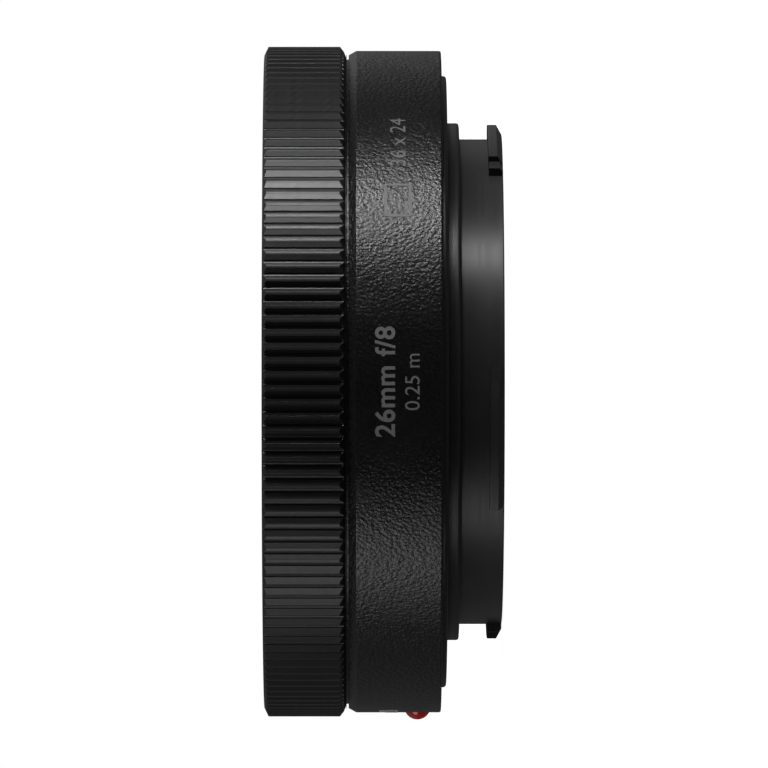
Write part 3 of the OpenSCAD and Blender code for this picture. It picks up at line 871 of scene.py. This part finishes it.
def rib_slice(shape):
    """One pitch of the focus ring, from valley to valley: a rib outside and the bore inside."""
    valley_r = RING_R - shape.rib_depth / MM
    half = rib_columns(shape)
    columns = [(-x, RING_R - deep) for x, deep in reversed(half)]
    columns += [(x, RING_R - deep) for x, deep in half]
    bevel, rear_run, front_run = 0.85, 0.66, 0.41
    rear_r = front_r = RING_R - bevel
    rear_slope, front_slope = rear_run / bevel, front_run / bevel
    rear = rounded([(rear_r - 0.2, RING_REAR), (rear_r, RING_REAR, 0.06),
                    (valley_r, RING_REAR + (valley_r - rear_r) * rear_slope),
                    (rear_r - 0.2, RING_REAR + 3)], steps=3)
    front = rounded([(front_r - 1.2, RING_FRONT - 3),
                     (valley_r, RING_FRONT - (valley_r - front_r) * front_slope),
                     (front_r, RING_FRONT, 0.12), (front_r - 1.2, RING_FRONT)], steps=3)
    rear = [p for p in rear[1:] if p[1] < RING_REAR + 0.1]
    front = [p for p in front if p[1] > RING_FRONT - 0.2][:-1]
    seat_r, web_r, web_z, wall_r, lip_r = FACE_R + 0.05, 28.0, (14.9, 15.9), 32.0, 32.55
    inner = rounded([(FACE_R + 0.3, RING_FRONT), (seat_r, RING_FRONT, 0.12),
                     (seat_r, web_z[1]), (web_r, web_z[1]), (web_r, web_z[0]),
                     (wall_r, web_z[0]), (wall_r, BARREL_TOP), (lip_r, BARREL_TOP),
                     (lip_r, RING_REAR)], steps=3)[1:]
    verts, faces, rows = [], [], []

    def row(points):
        rows.append(list(range(len(verts), len(verts) + len(points))))
        for x, r, z in points:
            turn = x / RING_R
            verts.append((r * math.cos(turn), r * math.sin(turn), z))

    for r, z in rear:
        row([(x, r, z) for x, top in columns])
    row([(x, top, RING_REAR + (top - rear_r) * rear_slope) for x, top in columns])
    row([(x, top, RING_FRONT - (top - front_r) * front_slope) for x, top in columns])
    for r, z in front:
        row([(x, r, z) for x, top in columns])
    ends = (columns[0][0], columns[-1][0])
    for r, z in inner:
        row([(x, r, z) for x in ends])
    for here, after in zip(rows, rows[1:] + rows[:1]):
        if len(here) == len(after):
            for i in range(len(here) - 1):
                faces.append((here[i], here[i + 1], after[i + 1], after[i]))
        else:
            faces.append((*here, *reversed(after)))
    mesh = bpy.data.meshes.new("focus_grip")
    mesh.from_pydata([tuple(c * MM for c in v) for v in verts], [], faces)
    obj = bpy.data.objects.new("focus_grip", mesh)
    bpy.context.scene.collection.objects.link(obj)
    return obj


class LENS_OT_focus_grip(Operator):
    """Make the knurled focus ring"""
    bl_idname = "lens.focus_grip"
    bl_label = "Focus ring"

    def execute(self, context):
        shape = context.scene.lens_shape
        sharp = 17
        grip = copied_round(rib_slice(shape), shape.rib_count, RIB_PHASE, ring_black(),
                            merge=2e-6, sharp=sharp)
        tidy_mesh(grip.data)
        shade(grip, sharp)
        finished(grip, ring_black(), "focus", "focus_ring", slot="satin_black_metal")
        return {"FINISHED"}


class LENS_OT_barrel(Operator):
    """Make the wrinkle-painted barrel and its index bead"""
    bl_idname = "lens.barrel"
    bl_label = "Barrel"

    def execute(self, context):
        shape = context.scene.lens_shape
        front, chamfer, chamfer_run = RING_REAR - GAP, 0.43, 0.77
        socket_r, bore_r, seal_r, well_r = FLANGE_R + 0.08, 15.3, 32.43, 31.9
        floor_low, floor_high, post_r = 1.75, 3.2, (27.3, 29.6)
        shell = revolve("barrel_shell", rounded([
            (bore_r, floor_low), (socket_r, floor_low), (socket_r, BODY_REAR, 0.06),
            (BODY_R, BODY_REAR, 0.18), (BODY_R, front - chamfer_run, 0.12),
            (BODY_R - chamfer, front, 0.06), (seal_r, front), (seal_r, BARREL_TOP),
            (well_r, BARREL_TOP), (well_r, floor_high), (post_r[1], floor_high),
            (post_r[1], BARREL_TOP), (post_r[0], BARREL_TOP), (post_r[0], floor_high),
            (bore_r, floor_high)]), shape.steps)
        height = (BEAD_LOW + BEAD_HIGH) / 2
        seat_r, seat_depth = 1.42, 2
        seat = revolve("bead_seat", rounded([(0, -seat_depth), (seat_r, -seat_depth),
                                             (seat_r, 1), (0, 1)]), 48)
        moved(seat, Matrix.Translation((-BODY_R * MM, 0, height * MM))
              @ Matrix.Rotation(-math.pi / 2, 4, "Y"))
        combined(shell, seat, "DIFFERENCE")
        finished(shell, wrinkle_black(), "barrel", "main_barrel", slot="wrinkle_black")
        bead_r = (BEAD_HIGH - BEAD_LOW) / 2
        rise = [math.pi / 2 * k / 20 for k in range(21)]
        half = [(bead_r * math.sin(t), bead_r * math.cos(t)) for t in rise]
        bead = revolve("index_bead", [*half, (bead_r, -1.0), (0, -1.0)][::-1], 64, sharp=40)
        moved(bead, Matrix.Translation((-(BEAD_TIP - bead_r) * MM, 0, height * MM))
              @ Matrix.Rotation(-math.pi / 2, 4, "Y"))
        finished(bead, red_enamel(), "barrel", "index_dot", slot="red_enamel")
        return {"FINISHED"}


class LENS_OT_bayonet(Operator):
    """Make the bayonet mount: flange, spigot, tube and lugs"""
    bl_idname = "lens.bayonet"
    bl_label = "Bayonet mount"

    def execute(self, context):
        shape = context.scene.lens_shape
        steps = shape.steps
        mount = revolve("bayonet", rounded([
            (BORE_R, RIM_Z, 0.25), (TUBE_R, RIM_Z, 0.12), (TUBE_R, SPIGOT_Z, 0.10),
            (SPIGOT_R, SPIGOT_Z, 0.25), (SPIGOT_R, 0, 0.08), (FLANGE_R, 0, 0.3),
            (FLANGE_R, MOUNT_TOP), (BORE_R, MOUNT_TOP)]), steps, start=0.31)
        root_r = TUBE_R - 0.6
        for name, spans, tip_r, top, bevel, bevel_top, above_rim in (
                ("lug", LUGS, LUG_R, LUG_TOP, 0.97, 0.54, 0.015),
                ("ledge", LEDGES, LEDGE_R, LEDGE_TOP, 0.45, 0.33, 0.045)):
            outline = rounded([
                (root_r, top, 0), (tip_r, top, 0.1), (tip_r, RIM_Z + bevel_top, 0.08),
                (tip_r - bevel, RIM_Z + above_rim, 0.06), (root_r, RIM_Z + above_rim, 0)],
                steps=3)
            for from_a, to_a in spans:
                tab = revolve(name, outline, steps, span=to_a - from_a, start=from_a)
                combined(mount, tab, "UNION")
        sink = revolve("sink", [(0, -0.3), (1.5, -0.3), (1.5, 0.0), (0.85, 0.75), (0.85, 2.5),
                                (0, 2.5)], 48)
        moved(sink, at_radius(SCREW_CIRCLE, 0))
        copied_round(sink, 4, SCREW_FIRST, mount_black())
        combined(mount, sink, "DIFFERENCE")
        pin_r, pin_depth = 1.45, 1.2
        slot, other = [
            moved(revolve("slot", [(0, -1), (pin_r, -1), (pin_r, pin_depth), (0, pin_depth)], 40),
                  at_radius(SCREW_CIRCLE, angle)) for angle in LOCK_PIN]
        combined(slot, other, "UNION")
        combined(mount, slot, "DIFFERENCE")
        finished(mount, mount_black(), "barrel", "bayonet_mount", slot="mount_black")
        return {"FINISHED"}


def screw(name, shaft_r, head_r, head_h, length):
    """Countersunk screw pointing up from its head at z = 0, with a cross recess."""
    piece = revolve(name, rounded([
        (0, 0.03), (head_r - 0.03, 0.03, 0.04), (head_r - 0.03, 0.10, 0.03), (shaft_r, head_h),
        (shaft_r, length - 0.2), (shaft_r - 0.2, length), (0, length)], steps=3), 40)
    width = head_r * 0.2
    arms = box_mesh("arm", (0, 0, 0), (head_r * 1.15, width, head_h * 0.9), 0)
    arm = box_mesh("arm_b", (0, 0, 0), (head_r * 1.15, width, head_h * 0.9), 90)
    combined(arms, arm, "UNION")
    return combined(piece, arms, "DIFFERENCE")


class LENS_OT_screws(Operator):
    """Make the screws seen from behind"""
    bl_idname = "lens.screws"
    bl_label = "Screws"

    def execute(self, context):
        mount = moved(screw("mount_screw_heads", 0.8, 1.5, 0.75, 5.0),
                      at_radius(SCREW_CIRCLE, 0) @ Matrix.Rotation(0.35, 4, "Z"))
        copied_round(mount, 4, SCREW_FIRST, dark_steel())
        finished(mount, dark_steel(), "barrel", "mount_screws", slot="black_steel")
        trap = moved(screw("trap_screw_heads", 0.6, 1.1, 0.5, 7.9),
                     at_radius(TRAP_SCREW_CIRCLE, 0, TRAP_REAR) @ Matrix.Rotation(0.2, 4, "Z"))
        copied_round(trap, 3, 0, dark_steel())
        finished(trap, dark_steel(), "barrel", "baffle_screws", slot="black_steel")
        return {"FINISHED"}


class LENS_OT_face(Operator):
    """Make the front face: scale ring, index ring and the cell's rim"""
    bl_idname = "lens.face"
    bl_label = "Front face"

    def execute(self, context):
        steps = context.scene.lens_shape.steps
        seat_r, seat_z, plate_t = 28.2, 15.9, 0.6
        scale = revolve("scale_plate", rounded([
            (LEAST_R, LEAST_Z, 0.08), (LEAST_R, LEAST_Z - plate_t), (seat_r, seat_z + 0.35),
            (seat_r, seat_z), (FACE_R, seat_z), (FACE_R, FACE_Z - 0.02, 0.2)]), steps)
        finished(scale, satin_black(), "focus", "scale_ring", slot="satin_black_metal")
        bore_r, under, lip_low, lip_r = CELL_R + 0.2, 15.6, 15.2, (15.2, 16.3)
        groove_z, groove_r = INDEX_Z - 0.15, (17.1, 17.3, 17.6, 17.8)
        index = revolve("index_plate", rounded([
            (bore_r, under), (lip_r[0], under), (lip_r[0], lip_low), (lip_r[1], lip_low),
            (lip_r[1], under), (INDEX_R, under), (INDEX_R, INDEX_Z, 0.1),
            (groove_r[3], INDEX_Z - 0.03), (groove_r[2], groove_z, 0.05),
            (groove_r[1], groove_z, 0.05), (groove_r[0], INDEX_Z - 0.03),
            (bore_r, INDEX_Z - 0.1, 0.35)]), steps)
        hole_r, hole_depth, hole_circle = 0.4, 0.6, 18.7
        hole = revolve("spanner_hole", [(0, -hole_depth), (hole_r, -hole_depth), (hole_r, 1),
                                        (0, 1)], 24)
        moved(hole, at_radius(hole_circle, 0, INDEX_Z))
        copied_round(hole, 2, 90, satin_black())
        combined(index, hole, "DIFFERENCE")
        finished(index, satin_black(), "barrel", "index_ring", slot="satin_black_metal")
        return {"FINISHED"}


class LENS_OT_cell(Operator):
    """Make the optical cell, its stepped mouth and the light trap behind"""
    bl_idname = "lens.cell"
    bl_label = "Cell and light traps"

    def execute(self, context):
        steps = context.scene.lens_shape.steps
        cell = revolve("cell_body", rounded([
            (CELL_R, CELL_REAR, 0.15), (CELL_R, CELL_FRONT, 0.2), (12.7, CELL_FRONT, 0.12),
            (12.7, 10.6), (12.35, 10.6), (12.35, 3.4), (7, 3.4), (7, 10.5), (5.6, 10.5),
            (5.6, 7.3), (4.7, 7.3), (4.7, 6.62), (3.7, 6.62), (3.7, 5.6), (2.4, 5.6),
            (2.4, 4.49), (4.3, 4.49), (4.3, 2), (4.7, 2), (4.7, 1.62), (8.1, 1.62),
            (8.1, CELL_REAR, 0.1)]), steps)
        finished(cell, cell_black(), "cell", "lens_cell", slot="black_aluminium")
        mouth_r, throat_r, throat_z = 11.9, 5.0, 11.0
        count = 14
        ridges = []
        for k in range(count):
            r = throat_r + (mouth_r - throat_r) * k / count
            z = throat_z + (MOUTH_FRONT - throat_z) * k / count
            step = (mouth_r - throat_r) / count
            ridges += [(r, z, 0.02), (r + step, z, 0.04)]
        mouth = revolve("cell_mouth", rounded([
            *ridges, (mouth_r, MOUTH_FRONT, 0.05), (MOUTH_R, MOUTH_FRONT, 0.08), (MOUTH_R, 10.6),
            (5.55, 10.6), (5.55, MOUTH_REAR), (throat_r, MOUTH_REAR)], steps=2), steps)
        finished(mouth, trap_black(), "cell", "front_baffle", slot="matt_black_plastic")
        wall, stair, rise, nick = 21.85, 2.8, 0.42, 0.09
        stairs = []
        for k in range(4):
            r, z = wall - k * stair, TRAP_REAR + k * rise
            for m in range(4):
                stairs += [(r - m * stair / 4, z, 0), (r - (m + 0.72) * stair / 4, z, 0.03),
                           (r - (m + 0.80) * stair / 4, z + nick, 0.02),
                           (r - (m + 0.94) * stair / 4, z + nick, 0.02)]
            stairs += [(r - stair, z, 0.04), (r - stair, z + rise, 0)]
        window = wall - 4 * stair
        trap = revolve("light_trap", rounded([
            (TRAP_R, TRAP_TOP), (TRAP_R, TRAP_REAR, 0.15), *stairs[:-1],
            (window, -3.02, 0.1), (wall - 3.5, -3.02), (wall - 3.5, TRAP_REAR + 1.3),
            (wall, TRAP_REAR + 1.3), (wall, TRAP_TOP)], steps=3), steps)
        sink = revolve("trap_sink", [(0, -0.3), (1.1, -0.3), (1.1, 0.0), (0.62, 0.5), (0.62, 2),
                                     (0, 2)], 40)
        moved(sink, at_radius(TRAP_SCREW_CIRCLE, 0, TRAP_REAR))
        copied_round(sink, 3, 0, trap_black())
        combined(trap, sink, "DIFFERENCE")
        finished(trap, trap_black(), "barrel", "rear_baffle", slot="matt_black_plastic")
        retainer = revolve("rear_ring", rounded([
            (6.6, CELL_REAR, 0.15), (8.1, CELL_REAR, 0.05), (8.1, -0.72), (6.6, -0.72)]), steps)
        notch = box_mesh("notch", (7.9, 0, CELL_REAR), (1.2, 1.0, 1.0), 0)
        copied_round(notch, 2, 0, cell_black())
        combined(retainer, notch, "DIFFERENCE")
        finished(retainer, cell_black(), "cell", "rear_retainer", slot="black_aluminium")
        return {"FINISHED"}


# front vertex, thickness, edge radius, bend and clear radius in front, the same behind, then
# the coating's tint and the glass's refractive index
GLASSES = {
    "element_1": (10.9, 1.0, 5.5, 14, 5.5, -6, 4.2, (0.45, 0.85, 0.62), 1.62),
    "element_2": (8.6, 2.3, 4.6, 8, 4.6, 20, 4.6, (0.72, 0.55, 0.95), 1.70),
    "element_3": (4.0, 0.8, 4.2, -12, 3.4, -9, 3.4, (0.85, 0.72, 0.45), 1.65),
    "element_4": (2.7, 2.98, 4.6, 10, 4.6, 8, 4.6, (0.5, 0.75, 0.95), 1.70),
    "element_5": (-1.0, 0.9, 8.0, -9, 5.5, 18, 8.0, (0.55, 0.9, 0.7), 1.56),
}


class LENS_OT_glass(Operator):
    """Make the five glass elements"""
    bl_idname = "lens.glass"
    bl_label = "Glass"

    def execute(self, context):
        for node, values in GLASSES.items():
            front, thick, edge, front_bend, front_r, rear_bend, rear_r, tint, index = values
            upper = arc(0, front_r, front, front_bend)
            lower = [(r, 2 * (front - thick) - z)
                     for r, z in arc(0, rear_r, front - thick, rear_bend)]
            if front_r < edge:
                upper.append((edge, upper[-1][1]))
            if rear_r < edge:
                lower.append((edge, lower[-1][1]))
            piece = revolve(node + "_glass", [*upper, *lower[::-1]], 96, sharp=25)
            finished(piece, coated_glass(node + "_coating", tint, index), "cell", node,
                     slot="coated_glass")
        return {"FINISHED"}


def distance_angle(distance):
    """Turn of the focus ring from infinity for a distance in millimetres from the sensor."""
    focal, travel, turn = 26.0, 3.5, 90.0
    half = (distance - 2 * focal) / 2
    extension = half - math.sqrt(half * half - focal * focal)
    return min(turn, turn * extension / travel)


class LENS_OT_marks(Operator):
    """Print the lens data and the distance scale"""
    bl_idname = "lens.marks"
    bl_label = "Printed marks"

    def execute(self, context):
        skin = BODY_R + 0.004
        focal = sliced(text_mesh("data_focal", "26mm f/8", 1.9, thicken=0.055, spread=1.06), 8)
        wrapped(focal, skin, FACING, 5.30)
        near = sliced(text_mesh("data_near", "0.25 m", 1.46), 4)
        wrapped(near, skin, FACING, 2.86)
        form = sliced(text_mesh("data_format", "36 x 24", 1.57, spread=1.03), 6)
        wrapped(form, skin, FACING + 45.2, 4.2)
        corner = [(-1.8, -1.2), (1.8, -1.2), (1.8, 1.2), (-1.8, 1.2)]
        path = []
        for k, (x, y) in enumerate(corner):
            nx, ny = corner[(k + 1) % 4]
            path += [(x + (nx - x) * m / 6, y + (ny - y) * m / 6) for m in range(6)]
        sign = wrapped(loop_mesh("data_frame", path, 0.28), skin, FACING + 32.3, 4.95)
        for piece in (focal, near, form, sign):
            finished(piece, grey_ink(), "barrel")
        top = sliced(text_mesh("data_top", "26mm f/8", 1.9, thicken=0.03), 8)
        wrapped(top, skin, BEAD_ANGLE, 4.85)
        finished(top, white_ink(), "barrel")
        mark = laid(bar_mesh("focus_index", 0.3, 1.5), 18.7, BEAD_ANGLE, INDEX_Z - 0.005,
                    slope=False)
        finished(mark, white_ink(), "barrel")
        self.scale()
        return {"FINISHED"}

    def scale(self):
        """The distance scale on the turning face."""
        pieces = []
        figures = [(2000, "2"), (800, "0.8"), (400, "0.4"), (300, "0.3"), (250, "0.25m")]
        for distance, words in figures:
            angle = BEAD_ANGLE - distance_angle(distance)
            label = text_mesh("figure", words, 1.55, spread=1.02)
            pieces.append(laid(label, 23.6, angle, 0))
            pieces.append(laid(bar_mesh("tick", 0.22, 1.3, centre=(0, 0)), 21.6, angle, 0))
        pieces.append(laid(infinity_mesh("infinity", 3.4, 0.26), 24.4, BEAD_ANGLE + 4.5, 0))
        pieces.append(laid(bar_mesh("tick", 0.22, 1.3), 21.6, BEAD_ANGLE, 0))
        scale = join("distance_scale", *pieces)
        finished(scale, white_ink(), "focus")


INSIDE = {
    "mount_shim": rolled_brass, "guide_tube": machined_alloy, "guide_screws": bright_steel,
    "wave_spring": bright_steel, "thrust_washer": slide_plastic, "retaining_ring": machined_alloy,
    "ring_screws": bright_steel, "focus_hub": machined_alloy, "cam_ring": machined_alloy,
    "cam_ring_screws": bright_steel, "stop_pin": bright_steel, "cam_rollers": rolled_brass,
    "roller_screws": bright_steel, "spacer_1": cell_black, "spacer_2": cell_black,
    "spacer_3": cell_black, "aperture_stop": trap_black,
}


class LENS_OT_inside(Operator):
    """Give the hidden CAD pieces their finishes"""
    bl_idname = "lens.inside"
    bl_label = "Inner pieces"

    def execute(self, context):
        for node, finish in INSIDE.items():
            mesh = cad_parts[node].data
            mesh.materials.clear()
            mesh.materials.append(finish())
        return {"FINISHED"}


# ---- studio --------------------------------------------------------------------------------


def aimed(obj, place, target, up="X"):
    """Puts a light or camera at a place, looking at a target, with an axis of the frame upwards."""
    back = (Vector(place) - Vector(target)).normalized()
    top = Vector((1, 0, 0)) if up == "X" else Vector((0, 0, 1))
    right = top.cross(back).normalized()
    top = back.cross(right)
    turn = Matrix((right, top, back)).transposed().to_4x4()
    obj.matrix_world = Matrix.Translation(place) @ turn


def strip(name, angle, power, width, length, distance=0.9, height=0.006):
    """Tall strip light, facing the axis, at an angle round it."""
    light = bpy.data.lights.new(name, "AREA")
    light.shape = "RECTANGLE"
    light.size, light.size_y = width, length
    light.energy = power
    obj = bpy.data.objects.new(name, light)
    bpy.context.scene.collection.objects.link(obj)
    a = math.radians(angle)
    aimed(obj, (distance * math.cos(a), distance * math.sin(a), height), (0, 0, height), up="Z")
    return obj


# brightness of the surroundings by the angle round the axis from the camera, upwards positive
SURROUND = (
    (-180, 0.05), (-150, 0.09), (-125, 0.16), (-100, 0.20), (-80, 0.10), (-55, 0.012), (0, 0.003),
    (55, 0.012), (80, 0.09), (105, 0.15), (122, 0.20), (140, 0.47), (158, 0.29), (180, 0.05),
)


def studio_world():
    """White for the camera; for the lens, brighter at the sides and behind than in front."""
    world = bpy.data.worlds.new("studio")
    world.use_nodes = True
    tree = world.node_tree
    tree.nodes.clear()
    way = add(tree, "ShaderNodeTexCoord").outputs["Generated"]
    apart = add(tree, "ShaderNodeSeparateXYZ", {0: way})
    towards = math_node(tree, "MULTIPLY", apart.outputs["Y"], -1.0)
    angle = math_node(tree, "ARCTAN2", apart.outputs["X"], towards)
    ramp = add(tree, "ShaderNodeValToRGB", {0: map_range(tree, angle, -math.pi, math.pi, 0, 1)})
    stops = ramp.color_ramp.elements
    while len(stops) < len(SURROUND):
        stops.new(0.5)
    for stop, (degrees, light) in zip(stops, SURROUND):
        stop.position = (degrees + 180) / 360
        stop.color = (light, light, light, 1)
    upright = math_node(tree, "POWER", math_node(tree, "ABSOLUTE", apart.outputs["Z"]), 3.0)
    strength = add(tree, "ShaderNodeMix", {"Factor": upright, "A": ramp.outputs[0]},
                   data_type="RGBA")
    strength.inputs["B"].default_value = (0.12, 0.12, 0.12, 1)
    lit = add(tree, "ShaderNodeBackground", {"Color": strength.outputs["Result"], "Strength": 1.0})
    seen = add(tree, "ShaderNodeBackground", {"Color": (1, 1, 1, 1), "Strength": 1.0})
    ray = add(tree, "ShaderNodeLightPath").outputs["Is Camera Ray"]
    mix = add(tree, "ShaderNodeMixShader", {0: ray, 1: lit.outputs[0], 2: seen.outputs[0]})
    tree.links.new(mix.outputs[0], add(tree, "ShaderNodeOutputWorld").inputs[0])
    return world


def floor_finish():
    """Pale floor: nearly white with soft shadows, dim in reflections and clear from below."""
    material, tree, shader = new_material("pale_floor")
    shader.inputs["Base Color"].default_value = (0.8, 0.8, 0.8, 1)
    shader.inputs["Roughness"].default_value = 0.9
    shader.inputs["Specular IOR Level"].default_value = 0.0
    glow = add(tree, "ShaderNodeEmission", {"Color": (1, 1, 1, 1), "Strength": 0.93})
    both = add(tree, "ShaderNodeAddShader", {0: shader.outputs[0], 1: glow.outputs[0]})
    dim = add(tree, "ShaderNodeEmission", {"Color": (1, 1, 1, 1), "Strength": 0.07})
    ray = add(tree, "ShaderNodeLightPath").outputs["Is Camera Ray"]
    mix = add(tree, "ShaderNodeMixShader", {0: ray, 1: dim.outputs[0], 2: both.outputs[0]})
    under = add(tree, "ShaderNodeNewGeometry").outputs["Backfacing"]
    clear = add(tree, "ShaderNodeBsdfTransparent")
    whole = add(tree, "ShaderNodeMixShader", {0: under, 1: mix.outputs[0], 2: clear.outputs[0]})
    tree.links.new(whole.outputs[0], tree.nodes["Material Output"].inputs["Surface"])
    return material


SHIFT = (0.03515625, -0.003046875)   # of the picture from the lens's middle, in frame widths
EYE_HEIGHT = 8.95                    # of the camera above the flange, in millimetres


class LENS_OT_stage(Operator):
    """Make the floor, the lights and the camera"""
    bl_idname = "lens.stage"
    bl_label = "Stage"

    def execute(self, context):
        stage = context.scene.lens_stage
        scene = context.scene
        scene.view_settings.view_transform = "Standard"
        scene.view_settings.look = "None"
        scene.world = studio_world()
        floor_z = CAD_BOX[0][2] - 0.05 * MM
        size = 4.0
        mesh = bpy.data.meshes.new("floor")
        mesh.from_pydata([(-size, -size, floor_z), (size, -size, floor_z), (size, size, floor_z),
                          (-size, size, floor_z)], [], [(0, 1, 2, 3)])
        floor = bpy.data.objects.new("floor", mesh)
        scene.collection.objects.link(floor)
        mesh.materials.append(floor_finish())
        strip("key_strip", FACING + 62, stage.key, 0.12, 1.1)
        strip("fill_strip", FACING - 63, stage.fill, 0.36, 1.1)
        camera = bpy.data.cameras.new("camera")
        camera.sensor_width = 36
        camera.lens = 36 * stage.distance / stage.field
        camera.clip_start, camera.clip_end = 0.01, 20
        camera.shift_x, camera.shift_y = SHIFT
        holder = bpy.data.objects.new("camera", camera)
        scene.collection.objects.link(holder)
        height = EYE_HEIGHT * MM
        aimed(holder, (0, -stage.distance, height), (0, 0, height), up="X")
        scene.camera = holder
        return {"FINISHED"}


class LENS_PT_panel(Panel):
    """Lists the lens's settings and pieces"""
    bl_idname = "LENS_PT_panel"
    bl_label = "Pancake prime lens"
    bl_space_type = "VIEW_3D"
    bl_region_type = "UI"
    bl_category = "Lens"

    def draw(self, context):
        layout = self.layout
        for group in (context.scene.lens_shape, context.scene.lens_finish,
                      context.scene.lens_stage):
            column = layout.column(align=True)
            for name in group.__annotations__:
                column.prop(group, name)
        for operator in OPERATORS:
            layout.operator(operator.bl_idname)


GROUPS = {"lens_shape": LENS_PG_shape, "lens_finish": LENS_PG_finish, "lens_stage": LENS_PG_stage}
OPERATORS = (
    LENS_OT_stage, LENS_OT_focus_grip, LENS_OT_barrel, LENS_OT_bayonet, LENS_OT_screws,
    LENS_OT_face, LENS_OT_cell, LENS_OT_glass, LENS_OT_marks, LENS_OT_inside,
)


def register():
    for name, group in GROUPS.items():
        bpy.utils.register_class(group)
        setattr(bpy.types.Scene, name, PointerProperty(type=group))
    for cls in (*OPERATORS, LENS_PT_panel):
        bpy.utils.register_class(cls)


def unregister():
    for cls in (LENS_PT_panel, *reversed(OPERATORS)):
        bpy.utils.unregister_class(cls)
    for name, group in GROUPS.items():
        delattr(bpy.types.Scene, name)
        bpy.utils.unregister_class(group)


def main():
    register()
    for operator in OPERATORS:
        group, name = operator.bl_idname.split(".")
        getattr(getattr(bpy.ops, group), name)()


if __name__ == "__main__":
    main()
